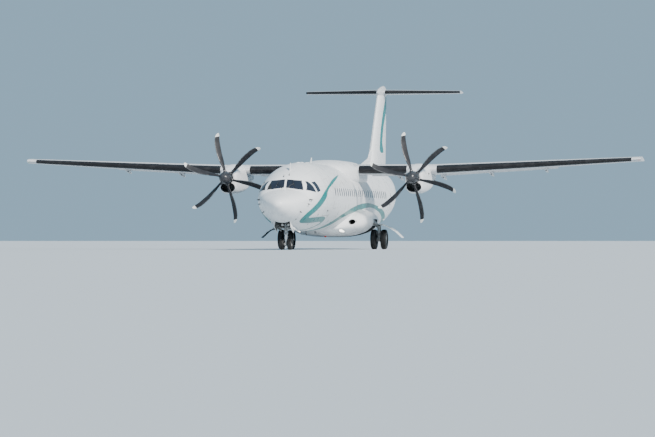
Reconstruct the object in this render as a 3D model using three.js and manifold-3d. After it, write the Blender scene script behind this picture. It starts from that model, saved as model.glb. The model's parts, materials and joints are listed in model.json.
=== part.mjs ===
// A high-wing twin turboprop airliner parked on its landing gear, as a scene graph of named solids.
// Millimetres, +Z up. The nose points to -Y and the port side, the pilot's left, is +X.
// The origin is on the ground, under the middle of the aircraft's overall length.

import * as THREE from 'three';
import { mergeVertices } from 'three/addons/utils/BufferGeometryUtils.js';
import Module from 'manifold-3d';

const wasm = await Module();
wasm.setup();

// Overall sizes of the type.
const LENGTH = 27166;
const SPAN = 27050;
const HEIGHT = 7650;
const WHEEL_TRACK = 4100;
const WHEEL_BASE = 10770;
const PROPELLER_SPACING = 8100;
const PROPELLER_DIAMETER = 3930;
const PROPELLER_GROUND_CLEARANCE = 1100;
const TAILPLANE_SPAN = 7310;

// Clearances.
const SEAT_GAP = 0.3; // between pieces that touch
const MOVING_GAP = 9; // between a moving surface and its bay
const END_GAP = 30; // at the ends of a moving surface

const PORT = 1;
const STARBOARD = -1;
const SIDES = [['port', PORT], ['starboard', STARBOARD]];

// A station is a distance aft of the nose tip.
const station = (s) => s - LENGTH / 2;
const radians = THREE.MathUtils.degToRad;
const lerp = THREE.MathUtils.lerp;

function paint(colour, roughness, metalness = 0) {
  return new THREE.MeshStandardMaterial({ color: colour, roughness, metalness });
}

const MATERIALS = {
  whitePaint: paint(0xe9ebec, 0.28),
  bootRubber: paint(0x15161a, 0.55),
  bladeComposite: paint(0x2b2e33, 0.45),
  spinnerPaint: paint(0x1d1f23, 0.35),
  glass: paint(0x0e1320, 0.08),
  tyreRubber: paint(0x131313, 0.85),
  wheelMetal: paint(0xb9bbbd, 0.4, 0.7),
  gearMetal: paint(0x8d9093, 0.45, 0.5),
  engineMetal: paint(0x5d5a55, 0.5, 0.8),
  lampGlass: paint(0xfff4d6, 0.1),
};

// Solids from three.js geometry.

// A closed three.js geometry as a solid that can be joined and cut.
function solidOf(geometry) {
  const bare = geometry.index ? geometry.toNonIndexed() : geometry.clone();
  bare.deleteAttribute('normal');
  bare.deleteAttribute('uv');
  const merged = mergeVertices(bare, 1e-3);
  const index = [];
  for (let i = 0; i < merged.index.count; i += 3) {
    const [a, b, c] = [0, 1, 2].map((k) => merged.index.getX(i + k));
    if (a !== b && b !== c && a !== c) index.push(a, b, c);
  }
  const positions = merged.getAttribute('position').array;
  return manifoldOf(positions, index);
}

// Positions and triangles as a solid, turned inside out first if they enclose a negative volume.
function manifoldOf(positions, index) {
  const corner = (i) => new THREE.Vector3().fromArray(positions, 3 * i);
  let sixVolumes = 0;
  for (let i = 0; i < index.length; i += 3) {
    sixVolumes += corner(index[i]).dot(corner(index[i + 1]).cross(corner(index[i + 2])));
  }
  const triVerts = Uint32Array.from(index);
  if (sixVolumes < 0) triVerts.reverse();
  return new wasm.Manifold(new wasm.Mesh({
    numProp: 3, vertProperties: Float32Array.from(positions), triVerts,
  }));
}

// Triangles that fill one flat ring of points, wound the same way as the ring.
function capOf(ring) {
  const normal = new THREE.Vector3();
  ring.forEach((p, i) => normal.add(p.clone().cross(ring[(i + 1) % ring.length])));
  normal.normalize();
  const across = new THREE.Vector3().subVectors(ring[1], ring[0]).normalize();
  const along = new THREE.Vector3().crossVectors(normal, across);
  const flat = ring.map((p) => new THREE.Vector2(p.dot(across), p.dot(along)));
  const turn = (a, b, c) => (b.x - a.x) * (c.y - a.y) - (b.y - a.y) * (c.x - a.x);
  return THREE.ShapeUtils.triangulateShape(flat, []).map(([a, b, c]) => (
    turn(flat[a], flat[b], flat[c]) > 0 ? [a, b, c] : [a, c, b]
  ));
}

// A closed skin through rings that all have the same number of points.
function loft(rings) {
  const n = rings[0].length;
  const positions = rings.flat().flatMap((p) => [p.x, p.y, p.z]);
  const index = [];
  for (let i = 0; i + 1 < rings.length; i += 1) {
    for (let j = 0; j < n; j += 1) {
      const k = (j + 1) % n;
      const [a, b, c, d] = [i * n + j, i * n + k, (i + 1) * n + k, (i + 1) * n + j];
      index.push(a, b, c, a, c, d);
    }
  }
  const last = (rings.length - 1) * n;
  capOf(rings[0]).forEach(([a, b, c]) => index.push(a, c, b));
  capOf(rings[rings.length - 1]).forEach(([a, b, c]) => index.push(last + a, last + b, last + c));
  return manifoldOf(positions, index);
}

function placed(geometry, x, y, z, turn = [0, 0, 0]) {
  const matrix = new THREE.Matrix4().makeRotationFromEuler(new THREE.Euler(...turn));
  return solidOf(geometry.applyMatrix4(matrix.setPosition(x, y, z)));
}

// A block between two corners.
function block(low, high) {
  const size = high.map((h, i) => h - low[i]);
  const middle = high.map((h, i) => (h + low[i]) / 2);
  return placed(new THREE.BoxGeometry(...size), ...middle);
}

const ROD_SIDES = 12;
const PIN_CLEARANCE = 0.3;

// A straight rod between two points.
function rod(from, to, radius, sides = ROD_SIDES, firstAngle = 0) {
  const [a, b] = [new THREE.Vector3(...from), new THREE.Vector3(...to)];
  const way = new THREE.Vector3().subVectors(b, a);
  const upright = new THREE.Vector3(0, 1, 0);
  const turn = new THREE.Quaternion().setFromUnitVectors(upright, way.clone().normalize());
  const middle = a.add(b).multiplyScalar(0.5);
  const matrix = new THREE.Matrix4().makeRotationFromQuaternion(turn).setPosition(middle);
  const geometry = new THREE.CylinderGeometry(radius, radius, way.length(), sides, 1, false, firstAngle);
  return solidOf(geometry.applyMatrix4(matrix));
}

// The hole that a pin of this radius turns in. Its flats stand opposite the pin's corners.
function bore(from, to, pinRadius, sides = ROD_SIDES) {
  const half = Math.PI / sides;
  return rod(from, to, (pinRadius + PIN_CLEARANCE) / Math.cos(half), sides, half);
}

// Points on an arc about [0, 0], between two angles in degrees.
function arc(radius, fromDegrees, toDegrees, steps) {
  return Array.from({ length: steps + 1 }, (_, i) => {
    const angle = radians(lerp(fromDegrees, toDegrees, i / steps));
    return [radius * Math.cos(angle), radius * Math.sin(angle)];
  });
}

const join = (...solids) => solids.reduce((all, next) => all.add(next));
const cut = (solid, ...tools) => tools.reduce((left, tool) => left.subtract(tool), solid);

// A prism on an outline of [a, b] pairs, in the plane that `place` maps from, between two depths.
function prism(outline, depths, place) {
  return loft(depths.map((depth) => outline.map(([a, b]) => place(a, b, depth))));
}
const alongY = (x, z, y) => new THREE.Vector3(x, y, z);
const alongX = (y, z, x) => new THREE.Vector3(x, y, z);
const rectangle = (a0, a1, b0, b1) => [[a0, b0], [a1, b0], [a1, b1], [a0, b1]];

// The scene graph.

const aircraft = new THREE.Group();
aircraft.name = 'turboprop_airliner';

// Adds a solid as a named mesh whose own origin is at `pivot`, turned about that pivot if `turn` is given.
function add(name, solid, material, pivot = [0, 0, 0], turn = null) {
  const { numProp, numVert, vertProperties, triVerts } = solid.getMesh();
  const positions = new Float32Array(3 * numVert);
  for (let i = 0; i < numVert; i += 1) {
    for (let k = 0; k < 3; k += 1) positions[3 * i + k] = vertProperties[numProp * i + k] - pivot[k];
  }
  const geometry = new THREE.BufferGeometry();
  geometry.setAttribute('position', new THREE.BufferAttribute(positions, 3));
  geometry.setIndex(new THREE.BufferAttribute(Uint32Array.from(triVerts), 1));
  geometry.computeVertexNormals();
  const mesh = new THREE.Mesh(geometry, material);
  mesh.name = name;
  mesh.position.set(...pivot);
  if (turn) mesh.quaternion.copy(turn);
  aircraft.add(mesh);
  return mesh;
}

// Fuselage.

const FUSELAGE_SIDES = 24;
const FAIRING_SIDES = 20;
const BELLY_SIDES = 24;
const BULLET_SIDES = 12;
// Columns: station, half width, then the heights of the top, the widest point and the bottom.
const FUSELAGE = [
  [0, 45, 1880, 1835, 1790],
  [70, 215, 2000, 1835, 1655],
  [220, 375, 2085, 1850, 1505],
  [480, 570, 2190, 1880, 1350],
  [800, 755, 2290, 1920, 1195],
  [1150, 905, 2390, 1965, 1085],
  [1550, 1040, 2490, 2010, 990],
  [1920, 1165, 2910, 2060, 925],
  [2350, 1265, 3140, 2100, 880],
  [3000, 1355, 3365, 2145, 830],
  [3800, 1412, 3545, 2180, 795],
  [5000, 1432, 3632, 2200, 780],
  [18600, 1432, 3632, 2200, 782],
  [19700, 1420, 3632, 2225, 860],
  [20900, 1360, 3632, 2290, 1050],
  [22100, 1230, 3628, 2390, 1330],
  [23300, 1030, 3612, 2510, 1640],
  [24400, 780, 3580, 2620, 1930],
  [25500, 500, 3520, 2730, 2180],
  [26350, 265, 3440, 2830, 2350],
  [26720, 120, 3340, 2880, 2520],
];

// One ring of a body: half an ellipse above its widest point and half an ellipse below it.
function bodyRing([s, halfWidth, top, middle, bottom], grow = 0, sides = FUSELAGE_SIDES, power = 2) {
  const bend = (v) => Math.sign(v) * Math.abs(v) ** (2 / power);
  return Array.from({ length: sides }, (_, i) => {
    const angle = (2 * Math.PI * i) / sides;
    const rise = Math.sin(angle) > 0 ? top - middle : middle - bottom;
    return new THREE.Vector3(
      (halfWidth + grow) * bend(Math.cos(angle)),
      station(s),
      middle + (rise + grow) * bend(Math.sin(angle)),
    );
  });
}
const body = (table, ...ringOptions) => loft(table.map((row) => bodyRing(row, ...ringOptions)));

// The fuselage's table between its rows.
function fuselageAt(s) {
  const next = FUSELAGE.findIndex((row) => row[0] >= s);
  const [before, after] = [FUSELAGE[next - 1], FUSELAGE[next]];
  const share = (s - before[0]) / (after[0] - before[0]);
  return before.map((v, i) => lerp(v, after[i], share));
}

// The fuselage's half width at a station and a height.
function skinX(s, z) {
  const [, halfWidth, top, middle, bottom] = fuselageAt(s);
  const reach = z > middle ? top - middle : middle - bottom;
  return halfWidth * Math.sqrt(1 - ((z - middle) / reach) ** 2);
}

// The height of its underside at a station and a distance from the centre line.
function skinBottom(s, x) {
  const [, halfWidth, , middle, bottom] = fuselageAt(s);
  return middle - (middle - bottom) * Math.sqrt(1 - (x / halfWidth) ** 2);
}

// Wing, as a section at each distance from the centre line.

const WING_CHORD = 2570;
const WING_TIP_CHORD = 1590;
const WING_BREAK = 4560; // the outer panels join the centre one here
const WING_LEADING_EDGE = 11350; // station
const WING_TIP_SWEEP = 460; // how far aft the leading edge is at the tip
const WING_HEIGHT = 3440; // at the centre section's leading edge
const WING_TIP_RISE = 430;
const WING_INCIDENCE = radians(2);
const WING_THICKNESS = [0.18, 0.13]; // share of the chord, at the centre and the tip
const CAMBER = 0.02;
const PROFILE_STEPS = 9;

// Half the thickness of a section of thickness 1 at a share u of the chord, to the usual four-digit formula.
function halfThickness(u) {
  return 5 * (0.2969 * Math.sqrt(u) - 0.126 * u - 0.3516 * u ** 2 + 0.2843 * u ** 3 - 0.1015 * u ** 4);
}

// A section's outline in millimetres: [aft, up] from the leading edge, round from the lower trailing edge.
function profile({ chord, thickness, camber = CAMBER }, grow = 0) {
  const points = [];
  for (let i = -PROFILE_STEPS; i <= PROFILE_STEPS; i += 1) {
    const u = 1 - Math.cos((Math.PI / 2) * (Math.abs(i) / PROFILE_STEPS));
    const side = Math.sign(i);
    const surface = Math.max(halfThickness(u) * thickness, 0.0015 * Math.sqrt(u));
    const out = side * (surface * chord + grow);
    const aft = u * chord + (i === 0 ? -grow : 0) + (Math.abs(i) === PROFILE_STEPS ? grow : 0);
    points.push([aft, out + 4 * camber * u * (1 - u) * chord]);
  }
  return points;
}

function wingAt(x) {
  const share = Math.max(0, (x - WING_BREAK) / (SPAN / 2 - WING_BREAK));
  return {
    chord: lerp(WING_CHORD, WING_TIP_CHORD, share),
    thickness: lerp(...WING_THICKNESS, share),
    y: station(WING_LEADING_EDGE + WING_TIP_SWEEP * share),
    z: WING_HEIGHT + WING_TIP_RISE * share,
  };
}

// A point of the wing at distance x from the centre line: u aft of the leading edge and v up.
function wingPoint(x, side, u, v) {
  const { y, z } = wingAt(x);
  const [c, s] = [Math.cos(WING_INCIDENCE), Math.sin(WING_INCIDENCE)];
  return new THREE.Vector3(side * x, y + u * c + v * s, z - u * s + v * c);
}

const wingRing = (x, side, grow = 0) => profile(wingAt(x), grow).map(([u, v]) => wingPoint(x, side, u, v));
const wingRegion = (xs, side, outline) => loft(xs.map((x) => (
  outline(wingAt(x)).map(([u, v]) => wingPoint(x, side, u, v)))));

// The region behind a hinge: an arc about the hinge point, open aft. The same region, a little
// larger, is cut from the fixed part, so the piece turns about its hinge at a constant gap.
function behindHinge([u, v], radius, fromDegrees, toDegrees, reach, steps = 7) {
  const nose = arc(radius, fromDegrees, toDegrees, steps).map(([a, b]) => [u + a, v + b]);
  const [start, end] = [nose[0], nose[steps]];
  return [...nose, [end[0], reach], [u + 2 * reach, reach], [u + 2 * reach, -reach], [start[0], -reach]];
}

// The flap turns about a point under the wing. All four values are shares of the chord.
const FLAP_HINGE = { aft: 0.8, drop: 0.05, radius: 0.163, reach: 0.36 };
const FLAP_ARC = [212, 98];
const flapHinge = ({ chord, thickness }) => {
  const { aft, drop } = FLAP_HINGE;
  const lower = 4 * CAMBER * aft * (1 - aft) - halfThickness(aft) * thickness;
  return [aft * chord, (lower - drop) * chord];
};
const flapOutline = (gap) => (section) => behindHinge(
  flapHinge(section), FLAP_HINGE.radius * section.chord + gap, ...FLAP_ARC, FLAP_HINGE.reach * section.chord);

// The aileron turns about a point inside the wing.
const AILERON_HINGE_AFT = 0.745;
const NOSE_OVERSIZE = 1.2; // nose radius over half the thickness at the hinge
const NOSE_ARC = [240, 120];
const aileronHinge = ({ chord }) => {
  const middle = 4 * CAMBER * AILERON_HINGE_AFT * (1 - AILERON_HINGE_AFT);
  return [AILERON_HINGE_AFT * chord, middle * chord];
};
const aileronOutline = (gap) => (section) => behindHinge(
  aileronHinge(section),
  NOSE_OVERSIZE * halfThickness(AILERON_HINGE_AFT) * section.thickness * section.chord + gap,
  ...NOSE_ARC, FLAP_HINGE.reach * section.chord);

// The de-icing boot is the wing's nose, back to this share of the chord.
const BOOT_SHARE = 0.095;
const bootOutline = (gap) => ({ chord }) => {
  const back = BOOT_SHARE * chord + gap;
  return rectangle(-chord / 4, back, -chord / 4, chord / 4);
};

// Spans of the wing's pieces, from the centre line.
const FAIRING_HALF_WIDTH = 1330;
const INNER_FLAP = [1500, 3450];
const OUTER_FLAP = [4620, 9800];
const AILERON = [9880, 13080];
const INNER_BOOT = [FAIRING_HALF_WIDTH + 20, 3450];
const OUTER_BOOT = [4750, 13120];
const FLAP_AT_REST = radians(15);

// Fairings over the flap hinges: columns are share of the chord, half width and depth below the wing, in mm.
const TRACK_FAIRING = [
  [0.5, 10, 20],
  [0.56, 42, 95],
  [0.66, 62, 190],
  [0.8, 66, 245],
  [0.93, 56, 225],
  [1.04, 34, 160],
  [1.12, 8, 105],
];
const TRACK_FAIRINGS = { centre: [2860], outer: [4760, 6880, 9280] };
const TRACK_FAIRING_SIDES = 8;

function trackFairing(x, side) {
  const section = wingAt(x);
  return loft(TRACK_FAIRING.map(([share, halfWidth, depth]) => {
    const along = Math.min(share, 1);
    const underside = 4 * CAMBER * along * (1 - along) - halfThickness(along) * section.thickness;
    const lower = underside * section.chord;
    const scale = section.chord / WING_CHORD;
    const roof = lower + 40 * (1 - share);
    return Array.from({ length: TRACK_FAIRING_SIDES }, (_, i) => {
      const angle = (2 * Math.PI * i) / TRACK_FAIRING_SIDES;
      const middle = (roof + lower - depth * scale) / 2;
      const rise = (roof - lower + depth * scale) / 2;
      const point = wingPoint(x, side, share * section.chord, middle + rise * Math.sin(angle));
      point.x += halfWidth * Math.cos(angle);
      return point;
    });
  }));
}

// Pins on the hinge line at both ends of a moving surface, and the bores that they turn in.
const END_PIN = { radius: 12, inside: 60, outside: 45 };

function endPins([from, to]) {
  const axis = new THREE.Vector3().subVectors(to, from).normalize();
  const spot = (end, shift) => end.clone().addScaledVector(axis, shift).toArray();
  const { radius, inside, outside } = END_PIN;
  const span = (extra) => {
    const reach = END_GAP + outside + extra;
    return [[spot(from, -reach), spot(from, inside)], [spot(to, -inside), spot(to, reach)]];
  };
  return {
    pins: span(0).map((ends) => rod(...ends, radius)),
    bores: span(SEAT_GAP).map((ends) => bore(...ends, radius)),
  };
}

// A fixed bracket inside a flap track fairing, the slot that it needs in the moving half, and its pin.
// The hinge line leans, so the flap drifts sideways as it swings: sideGap leaves room for that.
const FLAP_BRACKET = {
  halfThickness: 12, radius: 32, pin: 13, pinReach: 62, slotGap: 7, sideGap: 24, overrun: 90,
};
const FLAP_SWING = 35; // degrees, from retracted to fully down
const SLOT_REACH = 1.25; // over the flap's nose radius

// `ends` are two points of the flap's hinge line.
function flapBracket(x, side, ends) {
  const { halfThickness, radius, pin, pinReach, slotGap, sideGap, overrun } = FLAP_BRACKET;
  const onLine = (at) => {
    const share = (side * at - ends[0].x) / (ends[1].x - ends[0].x);
    return ends[0].clone().lerp(ends[1], share);
  };
  const [c, s] = [Math.cos(WING_INCIDENCE), Math.sin(WING_INCIDENCE)];
  const slice = (halfWidth, outline) => loft([x - halfWidth, x + halfWidth].map((at) => (
    outline(FLAP_HINGE.radius * wingAt(at).chord).map(([a, b]) => (
      onLine(at).add(new THREE.Vector3(0, a * c + b * s, b * c - a * s)))))));
  const bar = (nose) => [
    ...arc(radius, -90, 90, 4), [-nose - overrun, radius], [-nose - overrun, -radius]];
  const slot = (nose) => {
    const [wide, far] = [radius + slotGap, SLOT_REACH * nose];
    const lowEnd = arc(far, 180 + FLAP_SWING, 180, 1)[0];
    const lowSide = arc(wide, FLAP_SWING - 90, 0, 1)[0];
    return [
      [-far, wide], ...arc(wide, 90, FLAP_SWING - 90, 4), [lowEnd[0] + lowSide[0], lowEnd[1] + lowSide[1]]];
  };
  const line = (reach) => [x - reach, x + reach].map((at) => onLine(at).toArray());
  return {
    bar: cut(slice(halfThickness, bar), bore(...line(2 * halfThickness), pin)),
    slot: slice(halfThickness + sideGap, slot),
    pin: rod(...line(pinReach), pin),
  };
}

// Adds the moving piece that a region cuts out of a whole surface, and returns what is left of the whole.
// `ends` are two points of the hinge line, and the brackets or else pins at both ends carry the piece.
function hinged(name, whole, region, bay, ends, { brackets = null, restAngle = 0 } = {}) {
  const axis = new THREE.Vector3().subVectors(ends[1], ends[0]).normalize();
  const turn = new THREE.Quaternion().setFromAxisAngle(axis, restAngle);
  const raw = whole.intersect(region);
  const { pins, bores } = endPins(ends);
  const piece = brackets
    ? join(cut(raw, ...brackets.map((b) => b.slot)), ...brackets.map((b) => b.pin))
    : join(raw, ...pins);
  add(name, piece, MATERIALS.whitePaint, ends[0].toArray(), turn);
  const left = cut(whole, bay);
  return brackets ? join(left, ...brackets.map((b) => b.bar)) : cut(left, ...bores);
}

function buildWingPanel(xs, side, fairingPlaces) {
  return join(loft(xs.map((x) => wingRing(x, side))), ...fairingPlaces.map((x) => trackFairing(x, side)));
}

// One flap or aileron: the whole panel is shared between it and the fixed wing.
function wingSurface(name, whole, [inner, outer], side, outline, hinge, supportOn = () => ({})) {
  const xs = [inner + END_GAP, outer - END_GAP];
  const ends = xs.map((x) => wingPoint(x, side, ...hinge(wingAt(x))));
  const region = wingRegion(xs, side, outline(0));
  const bay = wingRegion([inner, outer], side, outline(MOVING_GAP));
  return hinged(name, whole, region, bay, ends, supportOn(ends));
}

function flap(name, whole, span, side, fairingPlaces) {
  const supportOn = (ends) => ({
    brackets: fairingPlaces.map((x) => flapBracket(x, side, ends)),
    restAngle: -side * FLAP_AT_REST,
  });
  return wingSurface(name, whole, span, side, flapOutline, flapHinge, supportOn);
}

function boot(name, whole, ends, side) {
  add(name, whole.intersect(wingRegion(ends, side, bootOutline(0))), MATERIALS.bootRubber);
  const widened = [ends[0] - SEAT_GAP, ends[1] + SEAT_GAP];
  return cut(whole, wingRegion(widened, side, bootOutline(SEAT_GAP)));
}

// The centre panel carries the inner flaps and boots of both sides.
function buildWing() {
  const places = TRACK_FAIRINGS.centre;
  let centre = loft([wingRing(WING_BREAK, STARBOARD), wingRing(WING_BREAK, PORT)]);
  SIDES.forEach(([, side]) => places.forEach((x) => { centre = join(centre, trackFairing(x, side)); }));
  SIDES.forEach(([label, side]) => {
    centre = flap(`flap_inner_${label}`, centre, INNER_FLAP, side, places);
    centre = boot(`deice_boot_inner_${label}`, centre, INNER_BOOT, side);
    let outer = buildWingPanel([WING_BREAK + SEAT_GAP, SPAN / 2], side, TRACK_FAIRINGS.outer);
    outer = flap(`flap_outer_${label}`, outer, OUTER_FLAP, side, TRACK_FAIRINGS.outer);
    outer = wingSurface(`aileron_${label}`, outer, AILERON, side, aileronOutline, aileronHinge);
    outer = boot(`deice_boot_outer_${label}`, outer, OUTER_BOOT, side);
    add(`wing_outer_${label}`, outer, MATERIALS.whitePaint);
  });
  add('wing_centre', centre, MATERIALS.whitePaint);
}

// What the wing takes out of the pieces that it passes through.
const wingSeat = loft([STARBOARD, PORT].map((side) => wingRing(WING_BREAK, side, SEAT_GAP)));

// Fairing between the wing and the fuselage. Columns as in the fuselage's table.
const WING_FAIRING = [
  [9500, 760, 3570, 3200, 3000],
  [9900, 1010, 3690, 3180, 2860],
  [10500, 1210, 3790, 3160, 2720],
  [11300, FAIRING_HALF_WIDTH, 3860, 3140, 2640],
  [13300, FAIRING_HALF_WIDTH, 3860, 3140, 2640],
  [14500, 1230, 3800, 3150, 2700],
  [15600, 980, 3700, 3180, 2870],
  [16300, 700, 3590, 3210, 3050],
];
const FAIRING_POWER = 2.6;

function buildWingFairing() {
  const outer = body(WING_FAIRING, 0, FAIRING_SIDES, FAIRING_POWER);
  add('wing_fairing', cut(outer, body(FUSELAGE, SEAT_GAP), wingSeat), MATERIALS.whitePaint);
}

// Flat pads where a jack lifts the aircraft: station, distance from the centre line and height.
const NOSE_JACK_PAD = [3450, 0, 795];
const MAIN_JACK_PADS = [[11500, 1150, 625], [11500, -1150, 625]];
const JACK_PAD = { radius: 70, depth: 120 };

function jackPad([s, x, z]) {
  return rod([x, station(s), z], [x, station(s), z + JACK_PAD.depth], JACK_PAD.radius);
}

// Belly fairing, which holds the main landing gear. Columns as in the fuselage's table.
const BELLY_FAIRING = [
  [8900, 560, 1080, 930, 775],
  [9250, 960, 1300, 1000, 720],
  [9700, 1290, 1490, 1075, 665],
  [10400, 1600, 1700, 1165, 600],
  [11100, 1800, 1830, 1215, 560],
  [11900, 1880, 1880, 1235, 530],
  [13300, 1880, 1880, 1235, 530],
  [14100, 1740, 1810, 1200, 575],
  [14900, 1430, 1650, 1120, 640],
  [15600, 1020, 1420, 1030, 710],
  [16100, 620, 1180, 950, 770],
];
const BELLY_POWER = 2.3;
const GEAR_WELL = { inner: 230, outer: 2100, from: 12150, to: 13130, rim: 1310, top: 1560 };
const POD_SKIN = 45;
const AIR_INLET = { x: 1330, z: 1180, radius: 125, from: 9850, to: 10600 };
const LANDING_LIGHT = { x: 934, z: 785, radius: 75, from: 9600, to: 9750 };

// The well for the leg and wheels of one side, up to a height.
function gearWell(side, top) {
  const { inner, outer, from, to } = GEAR_WELL;
  const [low, high] = [side * inner, side * outer].sort((a, b) => a - b);
  return block([low, station(from), 300], [high, station(to), top]);
}

const LAMP_DEPTH = 60;
function lamp(side, grow) {
  const { x, z, radius, from, to } = LANDING_LIGHT;
  const ends = [station(from) - 400, station(to) + LAMP_DEPTH + grow].map((y) => [side * x, y, z]);
  return rod(...ends, radius + grow);
}

function buildBellyFairing() {
  const whole = join(body(BELLY_FAIRING, 0, BELLY_SIDES, BELLY_POWER), ...MAIN_JACK_PADS.map(jackPad));
  let fairing = cut(whole, body(FUSELAGE, SEAT_GAP));
  const lens = body(BELLY_FAIRING, -4, BELLY_SIDES, BELLY_POWER);
  const underRoof = body(BELLY_FAIRING, -POD_SKIN, BELLY_SIDES, BELLY_POWER);
  SIDES.forEach(([label, side]) => {
    const { x, z, radius, from, to } = AIR_INLET;
    const inlet = rod([side * x, station(from) - 400, z], [side * x, station(to), z], radius);
    const solid = lens.intersect(lamp(side, 0));
    add(`landing_light_${label}`, cut(solid, body(FUSELAGE, SEAT_GAP)), MATERIALS.lampGlass);
    const well = join(gearWell(side, GEAR_WELL.rim), underRoof.intersect(gearWell(side, GEAR_WELL.top)));
    fairing = cut(fairing, well, inlet, lamp(side, SEAT_GAP));
  });
  add('belly_fairing', fairing, MATERIALS.whitePaint);
}

// Doors in the port side. Each is cut from the skin and turns about a line along its sill or its head.
const DOOR_THICKNESS = 90;
const DOOR_HINGE = { barrel: 28, pin: 9, length: 110, clear: 5, shares: [0.2, 0.8] };
// The hinge line is straight, so it stands proud of the curved skin at its ends.
const DOORS = [
  { name: 'cargo_door', from: 3560, to: 4860, sill: 1420, head: 2930, hingeAt: 'head', proud: 11 },
  { name: 'passenger_door', from: 19150, to: 19930, sill: 1330, head: 3020, hingeAt: 'sill', proud: 6 },
];
const VESTIBULE_INNER = 380;

function doorOpening({ from, to, sill, head }, inset, inner) {
  const outline = rectangle(station(from) + 2 * inset, station(to) - 2 * inset, sill + inset, head - inset);
  return prism(outline, [inner, 1700], alongX);
}

// The ends of a door's hinge line, which follows the skin along its sill or its head.
function doorHingeLine({ from, to, sill, head, hingeAt, proud }) {
  const z = hingeAt === 'sill' ? sill + MOVING_GAP : head - MOVING_GAP;
  return [from, to].map((s) => new THREE.Vector3(skinX(s, z) + proud, station(s), z));
}

// Adds a door and returns the hull with its opening. Each hinge has a barrel on the hull with a pin,
// ahead of a barrel on the door.
function buildDoor(hull, door) {
  const line = doorHingeLine(door);
  const axis = new THREE.Vector3().subVectors(line[1], line[0]);
  const { barrel, pin, length, clear, shares } = DOOR_HINGE;
  let leaf = body(FUSELAGE).intersect(doorOpening(door, MOVING_GAP, 0));
  leaf = cut(leaf, body(FUSELAGE, -DOOR_THICKNESS));
  let frame = cut(hull, doorOpening(door, 0, VESTIBULE_INNER));
  shares.forEach((share) => {
    const middle = axis.length() * share;
    const at = (along) => line[0].clone().addScaledVector(axis.clone().normalize(), middle + along).toArray();
    leaf = cut(leaf, rod(at(-length - clear), at(SEAT_GAP), barrel + clear));
    leaf = cut(join(leaf, rod(at(SEAT_GAP), at(length), barrel)), bore(at(-length), at(length + 1), pin));
    frame = cut(frame, rod(at(-SEAT_GAP), at(length + clear), barrel + clear));
    frame = join(frame, rod(at(-length), at(0), barrel), rod(at(-length / 2), at(length - clear), pin));
  });
  add(door.name, leaf, MATERIALS.whitePaint, line[0].toArray());
  return frame;
}

// Flight deck windows, each a pane set flush in the skin. Outlines are [x, z] from the front for the
// two windscreens, and [station, z] from the side for the others.
const PANE_THICKNESS = 35;
const PANE_RECESS = 3;
const WINDSCREEN = [[38, 2535], [752, 2440], [620, 2828], [38, 2868]];
const SIDE_PANES = [
  ['side_window_forward', [[1705, 2430], [2195, 2345], [2205, 2623], [2175, 2785], [2080, 2800]]],
  ['side_window_aft', [[2325, 2765], [2340, 2352], [2710, 2420], [2650, 2800]]],
];

// An outline with every edge moved out by `grow`.
function widened(outline, grow) {
  const around = outline.map(([a, b], i) => {
    const [c, d] = outline[(i + 1) % outline.length];
    return { twiceArea: a * d - c * b, out: new THREE.Vector2(d - b, a - c).normalize() };
  });
  const turning = Math.sign(around.reduce((sum, edge) => sum + edge.twiceArea, 0));
  return outline.map(([a, b], i) => {
    const [before, after] = [around.at(i - 1).out, around[i].out];
    const mitre = (turning * grow) / (1 + before.dot(after));
    return [a + mitre * (before.x + after.x), b + mitre * (before.y + after.y)];
  });
}

function buildWindows(hull) {
  const inside = body(FUSELAGE, -PANE_THICKNESS);
  const deeper = body(FUSELAGE, -PANE_THICKNESS - SEAT_GAP);
  const outside = body(FUSELAGE, -PANE_RECESS);
  let left = hull;
  const glaze = (name, pane, pocket) => {
    add(name, cut(outside.intersect(pane), inside), MATERIALS.glass);
    left = cut(left, cut(pocket, deeper));
  };
  SIDES.forEach(([label, side]) => {
    const front = (grow) => prism(
      widened(WINDSCREEN, grow).map(([x, z]) => [side * x, z]), [station(300), station(2600)], alongY);
    glaze(`windscreen_${label}`, front(0), front(SEAT_GAP));
    SIDE_PANES.forEach(([name, outline]) => {
      const flat = outline.map(([s, z]) => [station(s), z]);
      const across = (grow) => prism(widened(flat, grow), [side * 600, side * 1600], alongX);
      glaze(`${name}_${label}`, across(0), across(SEAT_GAP));
    });
  });
  return left;
}

// Nose gear bay, and the fuselage with all its openings.
const NOSE_AXLE = 1850; // station
const MAIN_AXLE = NOSE_AXLE + WHEEL_BASE;
const NOSE_BAY = { halfWidth: 300, from: 1060, to: 2720, top: 1500 };

// The rear of the cabin is hollow, behind the passenger door.
const CABIN = { halfWidth: 1300, from: 14900, to: 20350, floor: 1330, ceiling: 3180 };

function cabin() {
  const { halfWidth, from, to, floor, ceiling } = CABIN;
  return body(FUSELAGE, -DOOR_THICKNESS).intersect(
    block([-halfWidth, station(from), floor], [halfWidth, station(to), ceiling]));
}

function buildFuselage() {
  const { halfWidth, from, to, top } = NOSE_BAY;
  const bay = block([-halfWidth, station(from), 500], [halfWidth, station(to), top]);
  let hull = cut(join(body(FUSELAGE), jackPad(NOSE_JACK_PAD)), wingSeat, bay, cabin());
  SIDES.forEach(([, side]) => { hull = cut(hull, gearWell(side, GEAR_WELL.top)); });
  add('fuselage', DOORS.reduce(buildDoor, buildWindows(hull)), MATERIALS.whitePaint);
}

// Tail. The fin and rudder share one upright surface, the tailplane and elevators one level surface.
const FIN_BASE = { z: 3200, leading: 21500, trailing: 26480, thickness: 0.1 };
const FIN_TOP = { z: 7150, leading: 24480, trailing: 26830, thickness: 0.12 };
const RUDDER_SPAN = [3640, 7060];
const RUDDER_HINGE = 0.66; // share of the fin's chord
const DORSAL_FIN = [[18300, 3560], [21900, 4150], [23200, 4950], [23200, 3560]];
const DORSAL_HALF_THICKNESS = 55;

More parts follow.
